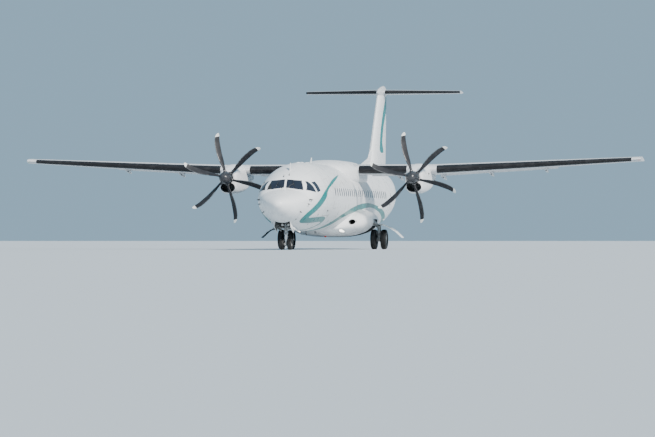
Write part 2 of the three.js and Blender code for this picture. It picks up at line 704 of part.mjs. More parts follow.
function finAt(z) {
  const share = (z - FIN_BASE.z) / (FIN_TOP.z - FIN_BASE.z);
  const [leading, trailing] = ['leading', 'trailing'].map((k) => lerp(FIN_BASE[k], FIN_TOP[k], share));
  const thickness = lerp(FIN_BASE.thickness, FIN_TOP.thickness, share);
  return { y: station(leading), chord: trailing - leading, thickness, camber: 0 };
}
const finPoint = (z, u, v) => new THREE.Vector3(v, finAt(z).y + u, z);
const finRegion = (zs, outline) => loft(zs.map((z) => outline(finAt(z)).map(([u, v]) => finPoint(z, u, v))));
const noseOutline = (hinge, gap) => ({ chord, thickness }) => behindHinge(
  [hinge * chord, 0], NOSE_OVERSIZE * halfThickness(hinge) * thickness * chord + gap, ...NOSE_ARC, chord);

function buildFin() {
  const surface = finRegion([FIN_BASE.z, FIN_TOP.z], profile);
  const dorsalOutline = DORSAL_FIN.map(([s, z]) => [station(s), z]);
  const dorsal = prism(dorsalOutline, [-DORSAL_HALF_THICKNESS, DORSAL_HALF_THICKNESS], alongX);
  const whole = cut(join(surface, dorsal), body(FUSELAGE, SEAT_GAP));
  const [low, high] = [RUDDER_SPAN[0] + END_GAP, RUDDER_SPAN[1] - END_GAP];
  const ends = [low, high].map((z) => finPoint(z, RUDDER_HINGE * finAt(z).chord, 0));
  const region = finRegion([low, high], noseOutline(RUDDER_HINGE, 0));
  const bay = finRegion(RUDDER_SPAN, noseOutline(RUDDER_HINGE, MOVING_GAP));
  add('fin', hinged('rudder', whole, region, bay, ends), MATERIALS.whitePaint);
}

const TAILPLANE = { z: 7330, rootLeading: 25130, tipLeading: 25780, rootChord: 2036, tipChord: 1210 };
const TAILPLANE_THICKNESS = 0.12;
const ELEVATOR_SPAN = [190, 3560];
const ELEVATOR_HINGE = 0.66;
const BULLET = [
  [24250, 20, 7300, 7270, 7240],
  [24550, 95, 7430, 7290, 7140],
  [25200, 140, 7560, 7290, 7070],
  [26000, 130, HEIGHT, 7300, 7080],
  [26480, 80, 7560, 7320, 7160],
  [26700, 20, 7400, 7330, 7290],
];

function tailAt(x) {
  const share = x / (TAILPLANE_SPAN / 2);
  return {
    y: station(lerp(TAILPLANE.rootLeading, TAILPLANE.tipLeading, share)),
    chord: lerp(TAILPLANE.rootChord, TAILPLANE.tipChord, share),
    thickness: TAILPLANE_THICKNESS,
    camber: 0,
  };
}
const tailPoint = (x, side, u, v) => new THREE.Vector3(side * x, tailAt(x).y + u, TAILPLANE.z + v);
const tailRing = (x, side) => profile(tailAt(x)).map(([u, v]) => tailPoint(x, side, u, v));
const tailRegion = (xs, side, outline) => loft(xs.map((x) => (
  outline(tailAt(x)).map(([u, v]) => tailPoint(x, side, u, v)))));

function buildTailplane() {
  const tip = TAILPLANE_SPAN / 2;
  let whole = loft([tailRing(tip, STARBOARD), tailRing(0, PORT), tailRing(tip, PORT)]);
  SIDES.forEach(([label, side]) => {
    const xs = [ELEVATOR_SPAN[0] + END_GAP, ELEVATOR_SPAN[1] - END_GAP];
    const ends = xs.map((x) => tailPoint(x, side, ELEVATOR_HINGE * tailAt(x).chord, 0));
    const region = tailRegion(xs, side, noseOutline(ELEVATOR_HINGE, 0));
    const bay = tailRegion(ELEVATOR_SPAN, side, noseOutline(ELEVATOR_HINGE, MOVING_GAP));
    whole = hinged(`elevator_${label}`, whole, region, bay, ends);
  });
  const seat = block([-400, station(24000), FIN_TOP.z - 400], [400, station(27166), FIN_TOP.z + SEAT_GAP]);
  add('tailplane', cut(join(whole, body(BULLET, 0, BULLET_SIDES)), seat), MATERIALS.whitePaint);
}

// Engines, nacelles and propellers.
const PROPELLER_X = PROPELLER_SPACING / 2;
const PROPELLER_Z = PROPELLER_GROUND_CLEARANCE + PROPELLER_DIAMETER / 2;
const PROPELLER_PLANE = 9300; // station
const HUB = { radius: 272, front: 9150, back: 9520, sides: 24 };
const SPINNER_TIP = 8720;
const SHAFT = { radius: 80, to: 10110 };

// Columns as in the fuselage's table.
const NACELLE = [
  [9560, 300, 3350, 3065, 2760],
  [9640, 370, 3400, 3040, 2440],
  [9760, 395, 3440, 3030, 2405],
  [10100, 425, 3545, 3000, 2390],
  [10600, 450, 3640, 2990, 2400],
  [11200, 460, 3690, 2990, 2440],
  [12000, 455, 3690, 2995, 2540],
  [12700, 430, 3650, 3030, 2760],
  [13300, 380, 3570, 3080, 2960],
  [13900, 280, 3430, 3140, 3070],
  [14300, 90, 3300, 3190, 3140],
];
const CHIN_INTAKE = { halfWidth: 300, middle: 2670, halfHeight: 205, from: 9300, to: 9990 };
const INTAKE_SIDES = 16;
const NACELLE_POWER = 3;
const ENGINE = { halfWidth: 300, bottom: 2800, top: 3330, from: 10050, to: 11240 };
const JET_PIPE = { radius: 140, wall: 14, from: [40, 11150, 2990], to: [330, 12700, 2930] };

// A round-cornered upright opening through the nacelle's chin.
function intakeDuct() {
  const { halfWidth, middle, halfHeight, from, to } = CHIN_INTAKE;
  return loft([from, to].map((s) => Array.from({ length: INTAKE_SIDES }, (_, i) => {
    const angle = (2 * Math.PI * i) / INTAKE_SIDES;
    const [x, rise] = [halfWidth * Math.cos(angle), halfHeight * Math.sin(angle)];
    return new THREE.Vector3(x, station(s), middle + rise);
  })));
}

function jetPipe(side, grow) {
  const { from, to, radius, wall } = JET_PIPE;
  const [start, end] = [from, to].map(([x, s, z]) => [side * x, station(s), z]);
  const beyond = end.map((v, i) => v + 0.05 * (v - start[i]));
  const outer = rod(start, grow > 0 ? beyond : end, radius + grow, 16);
  const middle = start.map((v, i) => lerp(v, end[i], 0.72));
  return grow > 0 ? outer : cut(outer, rod(middle, beyond, radius - wall, 16));
}

// Everything on a nacelle is built about the line x = 0 and then moved to its place.
function buildPowerplant(label, side) {
  const shift = [side * PROPELLER_X, 0, 0];
  const at = (s) => [0, station(s), PROPELLER_Z];
  const { halfWidth, bottom, top, from, to } = ENGINE;
  const engineBox = (grow) => block(
    [-halfWidth - grow, station(from) - grow, bottom - grow],
    [halfWidth + grow, station(to) + grow, top + grow]);
  const shaftBore = bore(at(from - 50), at(SHAFT.to + 5), SHAFT.radius);
  const engine = cut(join(engineBox(0), jetPipe(side, 0)), shaftBore);
  const shaftWay = rod(at(9300), at(from + 20), 150, 16);
  const pipeWay = jetPipe(side, SEAT_GAP + 12);
  const whole = body(NACELLE, 0, FAIRING_SIDES, NACELLE_POWER);
  const nacelle = cut(whole, engineBox(SEAT_GAP), pipeWay, shaftWay, intakeDuct());
  add(`engine_${label}`, engine.translate(shift), MATERIALS.engineMetal);
  add(`nacelle_${label}`, cut(nacelle.translate(shift), wingSeat), MATERIALS.whitePaint);
}

// Columns: radius, chord, thickness share, pitch in degrees, and how far the blade leans ahead.
const BLADE = [
  [200, 115, 0.85, 57, 0],
  [420, 138, 0.6, 54, 4],
  [720, 232, 0.19, 47, 32],
  [1150, 261, 0.105, 38, 66],
  [1560, 241, 0.065, 31, 48],
  [1850, 185, 0.055, 27, -18],
  [PROPELLER_DIAMETER / 2, 81, 0.055, 25, -75],
];
// Outline of a blade's section: [share of the chord, share of the thickness].
const BLADE_SECTION = [
  [-0.5, 0.02], [-0.25, 0.52], [0.15, 0.44], [0.5, 0.03], [0.15, -0.38], [-0.25, -0.4],
];
const BLADE_COUNT = 6;
const FIRST_BLADE = radians(13); // the top blade stands this far off upright

function blade() {
  return loft(BLADE.map(([radius, chord, thickness, pitch, lean]) => {
    const [c, s] = [Math.cos(radians(pitch)), Math.sin(radians(pitch))];
    return BLADE_SECTION.map(([along, out]) => {
      const [a, t] = [along * chord, out * thickness * chord];
      return new THREE.Vector3(a * c + t * s - lean, a * s - t * c, radius);
    });
  }));
}

function lathe(points, sides) {
  return solidOf(new THREE.LatheGeometry(points.map(([r, h]) => new THREE.Vector2(r, h)), sides));
}

// The spinner's outline: a quarter of a slim oval from its tip to its rim.
function spinnerOutline(length) {
  const steps = 5;
  const oval = Array.from({ length: steps + 1 }, (_, i) => {
    const angle = (Math.PI / 2) * (i / steps);
    return [HUB.radius * Math.sin(angle) ** 0.86, length * Math.cos(angle)];
  });
  return [...oval.map(([r, h], i) => [i === 0 ? 0 : r, h]), [0, 0]];
}

function buildPropeller(label, side) {
  const pivot = [side * PROPELLER_X, station(PROPELLER_PLANE), PROPELLER_Z];
  const at = (s) => [0, s - PROPELLER_PLANE, 0];
  const drum = rod(at(HUB.front + SEAT_GAP), at(HUB.back), HUB.radius, HUB.sides);
  const shaft = rod(at(HUB.back - 10), at(SHAFT.to - SEAT_GAP), SHAFT.radius);
  const blades = Array.from({ length: BLADE_COUNT }, (_, i) => (
    blade().rotate([0, THREE.MathUtils.radToDeg(-FIRST_BLADE) + (360 / BLADE_COUNT) * i, 0])));
  const turning = join(drum, shaft, ...blades).translate(pivot);
  const domeLength = HUB.front - SPINNER_TIP;
  const dome = lathe(spinnerOutline(domeLength), HUB.sides).rotate([180, 0, 0]).translate(at(HUB.front));
  add(`propeller_${label}`, turning, MATERIALS.bladeComposite, pivot);
  add(`spinner_${label}`, dome.translate(pivot), MATERIALS.spinnerPaint, pivot);
}

// Wheels. A pair of wheels turns with the axle that joins them.
const MAIN_WHEEL = { radius: 432, width: 250, rim: 215, apart: 440, axle: 52 };
const NOSE_WHEEL = { radius: 225, width: 186, rim: 105, apart: 330, axle: 32 };
const TYRE_SIDES = 22;
const RIM_SIDES = 16;

// A tyre's closed outline about its axle: [radius, along the axle], flat where it meets the rim.
// The tyre is faceted and stands on one facet, so its corners lie a little outside its radius.
function tyreOutline({ radius, width, rim }) {
  const [half, depth] = [width / 2, radius / Math.cos(Math.PI / TYRE_SIDES) - rim];
  const shoulder = [[1, 0.34], [0.93, 0.78], [0.66, 1], [0, 0.68]];
  const upper = shoulder.map(([share, side]) => [rim + share * depth, side * half]);
  const lower = upper.map(([r, h]) => [r, -h]).reverse();
  return [...upper, ...lower, upper[0]];
}

// A rim with a dished face on its outer side, drawn for the wheel whose outer side is `outer`.
function rimOutline({ width, rim, axle }, outer) {
  const half = 0.62 * (width / 2);
  const face = [[0, 0.5], [axle * 1.6, 0.4], [0.72 * rim, 0.15], [0.82 * rim, 0.9], [rim, 1]];
  const back = [[rim, -1], [0, -0.6]];
  const seat = rim * Math.cos(Math.PI / TYRE_SIDES) - SEAT_GAP;
  return [...face, ...back].map(([r, h]) => [Math.min(r, seat), outer * h * half]);
}

// Adds the tyres and the axle with its two rims, at a pivot in the middle of the axle.
function buildWheelPair(names, wheel, pivot) {
  const onAxle = (solid) => solid.rotate([0, 0, -90]);
  const spots = [[PORT, names.tyres[0]], [STARBOARD, names.tyres[1]]];
  const rims = spots.map(([side, tyreName]) => {
    const move = [side * (wheel.apart / 2), 0, 0];
    const tyre = onAxle(lathe(tyreOutline(wheel), TYRE_SIDES)).rotate([180 / TYRE_SIDES, 0, 0]);
    add(tyreName, tyre.translate(move).translate(pivot), MATERIALS.tyreRubber, pivot);
    return onAxle(lathe(rimOutline(wheel, side), RIM_SIDES)).translate(move);
  });
  const half = wheel.apart / 2;
  const axle = rod([-half, 0, 0], [half, 0, 0], wheel.axle);
  add(names.rims, join(axle, ...rims).translate(pivot), MATERIALS.wheelMetal, pivot);
}

// Nose gear: a fixed leg with its trunnion and drag brace, and a steered fork below it.
const NOSE_LEG = { radius: 78, top: 1380, bottom: 760, piston: 52, knuckle: 62 };
const TRUNNION_RADIUS = 45;
const TOW_LUG = { halfWidth: 40, reach: 110 };

function buildNoseGear() {
  const y = station(NOSE_AXLE);
  const { radius, top, bottom, piston, knuckle } = NOSE_LEG;
  const wall = NOSE_BAY.halfWidth - SEAT_GAP;
  const axleZ = NOSE_WHEEL.radius;
  const leg = join(
    rod([0, y, bottom], [0, y, top], radius),
    rod([-wall, y, top - 60], [wall, y, top - 60], TRUNNION_RADIUS),
    rod([0, y, bottom + 140], [0, y + 620, NOSE_BAY.top - 60], 34),
    rod([-wall, y + 620, NOSE_BAY.top - 60], [wall, y + 620, NOSE_BAY.top - 60], 32),
    rod([0, y - 60, bottom + 60], [0, y - 60, bottom + 300], 55),
  );
  add('nose_gear_leg', leg, MATERIALS.gearMetal);

  const linkTop = [0, y + 100, bottom - 120];
  const fork = join(
    rod([0, y, axleZ], [0, y, bottom - SEAT_GAP], piston),
    rod([0, y, bottom - 130], [0, y, bottom - 40], radius),
    rod([0, y + 40, bottom - 80], [0, y + 170, bottom - 215], 20),
    rod([0, y + 170, bottom - 215], [0, y + 30, axleZ + 70], 20),
    rod([-64, y, axleZ], [64, y, axleZ], knuckle),
    block([-TOW_LUG.halfWidth, y - TOW_LUG.reach, axleZ - 30], [TOW_LUG.halfWidth, y - 40, axleZ + 30]),
  );
  const axleBore = bore([-200, y, axleZ], [200, y, axleZ], NOSE_WHEEL.axle);
  add('nose_gear_fork', cut(fork, axleBore), MATERIALS.gearMetal, [linkTop[0], y, linkTop[2]]);

  const names = { tyres: ['nose_tyre_port', 'nose_tyre_starboard'], rims: 'nose_wheel_rims' };
  buildWheelPair(names, NOSE_WHEEL, [0, y, axleZ]);
}

// Nose gear doors hang from the edges of the bay: a deep pair ahead of a shallow pair. Each is given by
// its two ends and how far it hangs below the skin at both.
const NOSE_DOORS = [
  { name: 'nose_gear_door', ends: [1075, 1660], drops: [230, 310] },
  { name: 'nose_gear_aft_door', ends: [1720, 2600], drops: [150, 130] },
];
// A door's section: share of its drop, and how far it bulges outward.
const NOSE_DOOR_SECTION = [[-0.25, 0], [0.1, 0], [0.45, 26], [0.8, 34], [1, 26]];
const NOSE_DOOR_THICKNESS = 24;

function buildNoseDoors() {
  const { halfWidth } = NOSE_BAY;
  SIDES.forEach(([label, side]) => NOSE_DOORS.forEach(({ name, ends, drops }) => {
    const door = loft(ends.map((s, i) => {
      const skin = skinBottom(s, halfWidth);
      const face = NOSE_DOOR_SECTION.map(([share, out]) => [halfWidth + out, skin - share * drops[i]]);
      const back = face.map(([x, z]) => [x + NOSE_DOOR_THICKNESS, z]).reverse();
      return [...face, ...back].map(([x, z]) => new THREE.Vector3(side * x, station(s), z));
    }));
    add(`${name}_${label}`, cut(door, body(FUSELAGE, SEAT_GAP)), MATERIALS.whitePaint);
  }));
}

// Main gear of one side: a leg on a fore-and-aft trunnion, a shock strut, two wheels and a door.
const MAIN_LEG = {
  trunnionX: 1700, trunnionZ: 1255, tube: 78, kneeZ: 965, arm: 88, radius: 78, knuckle: 96,
};
const MAIN_KNUCKLE_HALF_WIDTH = 86;
const SIDE_BRACE = { aft: -330, radius: 38, to: [2035, -25, 1010] };
const SHOCK = { x: 900, z: 1330, tube: 50, radius: 66, piston: 42, eye: 64, pin: 38, middle: 0.55, aft: 170 };
const SHOCK_PIN = { x: 1985, z: 1000 };
const MAIN_DOOR = {
  hinge: [2140, 1110], length: 1150, thickness: 30, from: 12200, to: 13080, slopes: [-20, -30, -43],
};
const DOOR_NOTCH = { length: 420, width: 330 };
const DOOR_BRACKET = { radius: 34, aft: 150, to: [2175, 1085] };

function mainGearDoor(side) {
  const { hinge, length, thickness, from, to, slopes } = MAIN_DOOR;
  const top = [hinge];
  slopes.forEach((slope) => {
    const [x, z] = top[top.length - 1];
    const step = length / slopes.length;
    top.push([x + step * Math.cos(radians(slope)), z + step * Math.sin(radians(slope))]);
  });
  const outline = [...top, ...top.map(([x, z]) => [x, z - thickness]).reverse()];
  const panel = prism(outline.map(([x, z]) => [side * x, z]), [station(from), station(to)], alongY);
  const tipX = side * top[top.length - 1][0];
  const [low, high] = [tipX - side * DOOR_NOTCH.length, tipX + side * 40].sort((a, b) => a - b);
  const notch = block([low, station(to) - DOOR_NOTCH.width, 100], [high, station(to) + 10, 1500]);
  const { trunnionX, trunnionZ, kneeZ } = MAIN_LEG;
  const [x, z] = DOOR_BRACKET.to;
  const root = gearPoint(side, lerp(trunnionX, WHEEL_TRACK / 2, 0.8), 0, lerp(trunnionZ, kneeZ, 0.8));
  const brackets = [-1, 1].map((way) => (
    rod(root, [side * x, station(MAIN_AXLE) + way * DOOR_BRACKET.aft, z], DOOR_BRACKET.radius, 8)));
  return cut(join(cut(panel, notch), ...brackets), mainLeg(side, SEAT_GAP));
}

// A point of the main gear: distances from the centre line, aft of the axle and above the ground.
const gearPoint = (side, x, aft, z) => [side * x, station(MAIN_AXLE) + aft, z];
const WELL_ENDS = [GEAR_WELL.from - MAIN_AXLE + SEAT_GAP, GEAR_WELL.to - MAIN_AXLE - SEAT_GAP];

function mainLeg(side, grow) {
  const at = (...place) => gearPoint(side, ...place);
  const axleX = WHEEL_TRACK / 2;
  const axleZ = MAIN_WHEEL.radius;
  const { trunnionX, trunnionZ, tube, kneeZ, arm, radius, knuckle } = MAIN_LEG;
  const halfWidth = MAIN_KNUCKLE_HALF_WIDTH + grow;
  const eyeEnd = SHOCK.aft + SHOCK.eye;
  return join(
    rod(at(trunnionX, WELL_ENDS[0], trunnionZ), at(trunnionX, WELL_ENDS[1], trunnionZ), tube + grow),
    rod(at(trunnionX, 0, trunnionZ), at(axleX, 0, kneeZ), arm + grow),
    rod(at(axleX, 0, axleZ), at(axleX, 0, kneeZ + 70 + grow), radius + grow),
    rod(at(axleX - halfWidth, 0, axleZ), at(axleX + halfWidth, 0, axleZ), knuckle + grow, 16),
    rod(at(SHOCK_PIN.x, 0, SHOCK_PIN.z), at(SHOCK_PIN.x, eyeEnd, SHOCK_PIN.z), SHOCK.pin + grow),
    rod(at(trunnionX, SIDE_BRACE.aft, trunnionZ), at(...SIDE_BRACE.to), SIDE_BRACE.radius + grow, 8),
  );
}

function mainShock(side) {
  const at = (...place) => gearPoint(side, ...place);
  const [top, low] = [[SHOCK.x, SHOCK.aft, SHOCK.z], [SHOCK_PIN.x, SHOCK.aft, SHOCK_PIN.z]];
  const middle = top.map((v, i) => lerp(v, low[i], SHOCK.middle));
  const halfEye = SHOCK.eye / 2;
  const strut = join(
    rod(at(SHOCK.x, WELL_ENDS[0], SHOCK.z), at(SHOCK.x, WELL_ENDS[1], SHOCK.z), SHOCK.tube),
    rod(at(...top), at(...middle), SHOCK.radius),
    rod(at(...middle), at(...low), SHOCK.piston),
    rod(at(low[0], SHOCK.aft - halfEye, low[2]), at(low[0], SHOCK.aft + halfEye, low[2]), SHOCK.eye),
  );
  return cut(strut, mainLeg(side, SEAT_GAP));
}

function buildMainGear(label, side) {
  const at = (...place) => gearPoint(side, ...place);
  const axleX = WHEEL_TRACK / 2;
  const axleZ = MAIN_WHEEL.radius;
  const axleBore = bore(at(axleX - 300, 0, axleZ), at(axleX + 300, 0, axleZ), MAIN_WHEEL.axle);
  add(`main_gear_leg_${label}`, cut(mainLeg(side, 0), axleBore), MATERIALS.gearMetal);
  add(`main_gear_shock_${label}`, mainShock(side), MATERIALS.gearMetal);
  add(`main_gear_door_${label}`, mainGearDoor(side), MATERIALS.whitePaint);

  const places = side > 0 ? ['outer', 'inner'] : ['inner', 'outer'];
  const names = {
    tyres: places.map((place) => `main_tyre_${label}_${place}`),
    rims: `main_wheel_rims_${label}`,
  };
  buildWheelPair(names, MAIN_WHEEL, at(axleX, 0, axleZ));
}

buildWing();
buildWingFairing();
buildBellyFairing();
buildFuselage();
buildFin();
buildTailplane();
SIDES.forEach(([label, side]) => {
  buildPowerplant(label, side);
  buildPropeller(label, side);
  buildMainGear(label, side);
});
buildNoseGear();
buildNoseDoors();

export default aircraft;
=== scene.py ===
import math

import bmesh
import bpy
import numpy as np
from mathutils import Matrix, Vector
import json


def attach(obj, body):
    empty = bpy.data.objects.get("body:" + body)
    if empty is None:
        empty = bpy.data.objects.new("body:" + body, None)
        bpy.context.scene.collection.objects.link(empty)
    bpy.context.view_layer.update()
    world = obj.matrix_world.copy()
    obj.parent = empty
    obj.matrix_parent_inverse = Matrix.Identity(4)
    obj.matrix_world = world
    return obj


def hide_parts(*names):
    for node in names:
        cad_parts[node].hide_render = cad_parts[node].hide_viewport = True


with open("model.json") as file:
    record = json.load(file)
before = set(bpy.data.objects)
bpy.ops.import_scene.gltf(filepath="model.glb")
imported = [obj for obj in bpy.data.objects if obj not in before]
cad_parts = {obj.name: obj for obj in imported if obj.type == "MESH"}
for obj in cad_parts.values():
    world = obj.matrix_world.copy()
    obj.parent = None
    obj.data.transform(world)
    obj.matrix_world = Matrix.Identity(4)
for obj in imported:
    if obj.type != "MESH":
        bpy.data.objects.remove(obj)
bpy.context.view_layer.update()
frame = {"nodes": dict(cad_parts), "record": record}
NODES = frame["nodes"]
BODY_OF = {node: body for body, nodes in frame["record"]["behaviour"]["bodies"].items() for node in nodes}
SIDES = (("port", 1), ("starboard", -1))
NOSE_Y = -13.583  # where station 0 is
ENGINE_X = 4.05
HULL_MIDDLE, HULL_RADIUS = 2.2, 1.43

# Curves through tables of numbers

CORNER_CUTS = 3


def circle(count):
    """Angles of points spread evenly round a circle."""
    return 2 * np.pi * np.arange(count) / count


def slopes(xs, ys):
    """Slopes of a curve through the points that never overshoots them."""
    step = np.diff(xs)
    rise = np.diff(ys) / step
    out = np.zeros(len(xs))
    for i in range(1, len(xs) - 1):
        if rise[i - 1] * rise[i] > 0:
            before, after = 2 * step[i] + step[i - 1], step[i] + 2 * step[i - 1]
            out[i] = (before + after) / (before / rise[i - 1] + after / rise[i])
    out[0], out[-1] = rise[0], rise[-1]
    return out


def through(xs, ys, at):
    """The curve's values at some places."""
    xs, ys = np.asarray(xs, float), np.asarray(ys, float)
    m = slopes(xs, ys)
    at = np.clip(at, xs[0], xs[-1])
    i = np.clip(np.searchsorted(xs, at, side="right") - 1, 0, len(xs) - 2)
    h = xs[i + 1] - xs[i]
    t = (at - xs[i]) / h
    low = ys[i] * (1 + 2 * t) * (1 - t) ** 2 + m[i] * h * t * (1 - t) ** 2
    high = ys[i + 1] * t * t * (3 - 2 * t) + m[i + 1] * h * t * t * (t - 1)
    return low + high


def rounded(line):
    """An open line with its corners cut."""
    line = [tuple(p) for p in line]
    for _ in range(CORNER_CUTS):
        out = [line[0]]
        for a, b in zip(line, line[1:]):
            out.append(tuple(0.75 * p + 0.25 * q for p, q in zip(a, b)))
            out.append(tuple(0.25 * p + 0.75 * q for p, q in zip(a, b)))
        line = out + [line[-1]]
    return line


def depth_inside(points, outline):
    """How far inside a closed outline each point lies, negative outside it."""
    corners = np.array(outline, float)
    nearest = np.full(len(points), np.inf)
    inside = np.zeros(len(points), bool)
    for p, q in zip(corners, np.roll(corners, -1, axis=0)):
        along = q - p
        if not along.any():
            continue
        share = np.clip((points - p) @ along / (along @ along), 0, 1)
        nearest = np.minimum(nearest, np.linalg.norm(points - p - share[:, None] * along, axis=1))
        crosses = (p[1] > points[:, 1]) != (q[1] > points[:, 1])
        rise = along[1] if along[1] else 1.0
        inside ^= crosses & (points[:, 0] < p[0] + (points[:, 1] - p[1]) / rise * along[0])
    return np.where(inside, nearest, -nearest)


# Bodies of rounded sections. Columns: station, half width, top, widest point and bottom, in millimetres.

FUSELAGE = [
    (0, 45, 1880, 1835, 1790), (70, 215, 2000, 1835, 1655), (220, 375, 2085, 1850, 1505),
    (480, 570, 2190, 1880, 1350), (800, 755, 2290, 1920, 1195), (1150, 905, 2390, 1965, 1085),
    (1550, 1040, 2490, 2010, 990), (1920, 1165, 2910, 2060, 925), (2350, 1265, 3140, 2100, 880),
    (3000, 1355, 3365, 2145, 830), (3800, 1412, 3545, 2180, 795), (5000, 1432, 3632, 2200, 780),
    (18600, 1432, 3632, 2200, 782), (19700, 1420, 3632, 2225, 860), (20900, 1360, 3632, 2290, 1050),
    (22100, 1230, 3628, 2390, 1330), (23300, 1030, 3612, 2510, 1640), (24400, 780, 3580, 2620, 1930),
    (25500, 500, 3520, 2730, 2180), (26350, 265, 3440, 2830, 2350), (26720, 120, 3340, 2880, 2520),
]
NACELLE = [
    (9560, 300, 3350, 3065, 2760), (9640, 370, 3400, 3040, 2440), (9760, 395, 3440, 3030, 2405),
    (10100, 425, 3545, 3000, 2390), (10600, 450, 3640, 2990, 2400), (11200, 460, 3690, 2990, 2440),
    (12000, 455, 3690, 2995, 2540), (12700, 430, 3650, 3030, 2760), (13300, 380, 3570, 3080, 2960),
    (13900, 280, 3430, 3140, 3070), (14300, 90, 3300, 3190, 3140),
]
WING_FAIRING = [
    (9500, 760, 3570, 3200, 3000), (9900, 1010, 3690, 3180, 2860), (10500, 1210, 3790, 3160, 2720),
    (11300, 1330, 3860, 3140, 2640), (13300, 1330, 3860, 3140, 2640), (14500, 1230, 3800, 3150, 2700),
    (15600, 980, 3700, 3180, 2870), (16300, 700, 3590, 3210, 3050),
]
BELLY_FAIRING = [
    (8900, 560, 1080, 930, 775), (9250, 960, 1300, 1000, 720), (9700, 1290, 1490, 1075, 665),
    (10400, 1600, 1700, 1165, 600), (11100, 1800, 1830, 1215, 560), (11900, 1880, 1880, 1235, 530),
    (13300, 1880, 1880, 1235, 530), (14100, 1740, 1810, 1200, 575), (14900, 1430, 1650, 1120, 640),
    (15600, 1020, 1420, 1030, 710), (16100, 620, 1180, 950, 770),
]
FACET_SLACK = 0.014  # how far a corner on the solid's skin may lie from its flat facets
NORMAL_STEP, END_SLACK, FAR_OFF = 1.5e-3, 1e-3, 9.0


class Skin:
    """A body of rounded sections: the faceted surface of the solid, and the smooth one through it."""

    def __init__(self, rows, power, sides, x=0.0, crease=None, blunt=False):
        table = np.array(rows, float) / 1000
        self.s, self.rows = table[:, 0], table[:, 1:]
        self.power, self.x, self.crease, self.blunt = power, x, crease, blunt
        bent = [np.sign(f(circle(sides))) * np.abs(np.round(f(circle(sides)), 12)) ** (2 / power)
                for f in (np.cos, np.sin)]
        self.ring = np.array(bent).T
        self.ring_angles = np.mod(np.arctan2(self.ring[:, 1], self.ring[:, 0]), 2 * np.pi)

    def flat_row(self, s):
        return [np.interp(s, self.s, column) for column in self.rows.T]

    def smooth_row(self, s):
        """Half width, top, widest point and bottom at some stations."""
        s = np.clip(s, self.s[0], self.s[-1])
        bend = np.sqrt if self.blunt else np.asarray
        out = [through(bend(self.s), column, bend(s)) for column in self.rows.T]
        if self.crease is not None:
            ahead, behind = self.s <= self.crease, self.s >= self.crease
            top = self.rows[:, 1]
            fore = through(bend(self.s[ahead]), top[ahead], bend(s))
            aft = through(self.s[behind], top[behind], s)
            out[1] = np.where(s < self.crease, fore, aft)
        return out

    def shares(self, co, row):
        """A point's place in its section, as shares of the half width and of the reach up or down."""
        half, top, middle, bottom = row
        rise = co[:, 2] - middle
        return (co[:, 0] - self.x) / half, rise / np.where(rise > 0, top - middle, middle - bottom)

    def off_facets(self, co):
        """Roughly how far each point lies outside the faceted surface, in metres."""
        s = co[:, 1] - NOSE_Y
        u, v = self.shares(co, self.flat_row(s))
        angle = np.mod(np.arctan2(v, u), 2 * np.pi)
        k = np.searchsorted(self.ring_angles, angle, side="right") - 1
        a, b = self.ring[k], self.ring[(k + 1) % len(self.ring)]
        normal = np.stack([b[:, 1] - a[:, 1], a[:, 0] - b[:, 0]], axis=1)
        gauge = (u * normal[:, 0] + v * normal[:, 1]) / (a * normal).sum(axis=1)
        size = np.hypot(co[:, 0] - self.x, co[:, 2] - self.flat_row(s)[2])
        off = (gauge - 1) * size / np.maximum(gauge, 0.05)
        outside = (s < self.s[0] - END_SLACK) | (s > self.s[-1] + END_SLACK)
        return np.where(outside, FAR_OFF, off)

    def level(self, co):
        u, v = self.shares(co, self.smooth_row(co[:, 1] - NOSE_Y))
        return np.abs(u) ** self.power + np.abs(v) ** self.power

    def normals(self, co):
        out = np.empty_like(co)
        for k in range(3):
            step = np.zeros(3)
            step[k] = NORMAL_STEP
            out[:, k] = self.level(co + step) - self.level(co - step)
        return out / np.maximum(np.linalg.norm(out, axis=1), 1e-9)[:, None]

    def onto(self, co, out=0.0):
        """The points moved within their sections onto the smooth surface, and then outward."""
        middle = self.smooth_row(co[:, 1] - NOSE_Y)[2]
        scale = self.level(co) ** (-1 / self.power)
        moved = co.copy()
        moved[:, 0] = self.x + (co[:, 0] - self.x) * scale
        moved[:, 2] = middle + (co[:, 2] - middle) * scale
        return moved + out * self.normals(moved) if out else moved

    def girth(self, co):
        """Degrees round the section from the keel, the same on both sides."""
        u, v = self.shares(co, self.smooth_row(co[:, 1] - NOSE_Y))
        return 90 + np.degrees(np.arctan2(v, np.abs(u)))

    def at_height(self, s, z, side=1, out=0.0):
        """Points of the smooth surface at some stations and heights."""
        s, z = np.broadcast_arrays(np.asarray(s, float), np.asarray(z, float))
        half, top, middle, bottom = self.smooth_row(s)
        v = np.abs((z - middle) / np.where(z > middle, top - middle, middle - bottom))
        u = (1 - np.clip(v, 0, 1) ** self.power) ** (1 / self.power)
        co = np.stack([self.x + side * half * u, s + NOSE_Y, z], axis=-1).reshape(-1, 3)
        return (co + out * self.normals(co)).reshape(s.shape + (3,))


hull = Skin(FUSELAGE, 2, 24, crease=1.55, blunt=True)
wing_hump = Skin(WING_FAIRING, 2.6, 20)
belly = Skin(BELLY_FAIRING, 2.3, 24)
nacelles = {label: Skin(NACELLE, 3, 20, x=ENGINE_X * side) for label, side in SIDES}

# Paint scheme, in stations and in girths from the keel

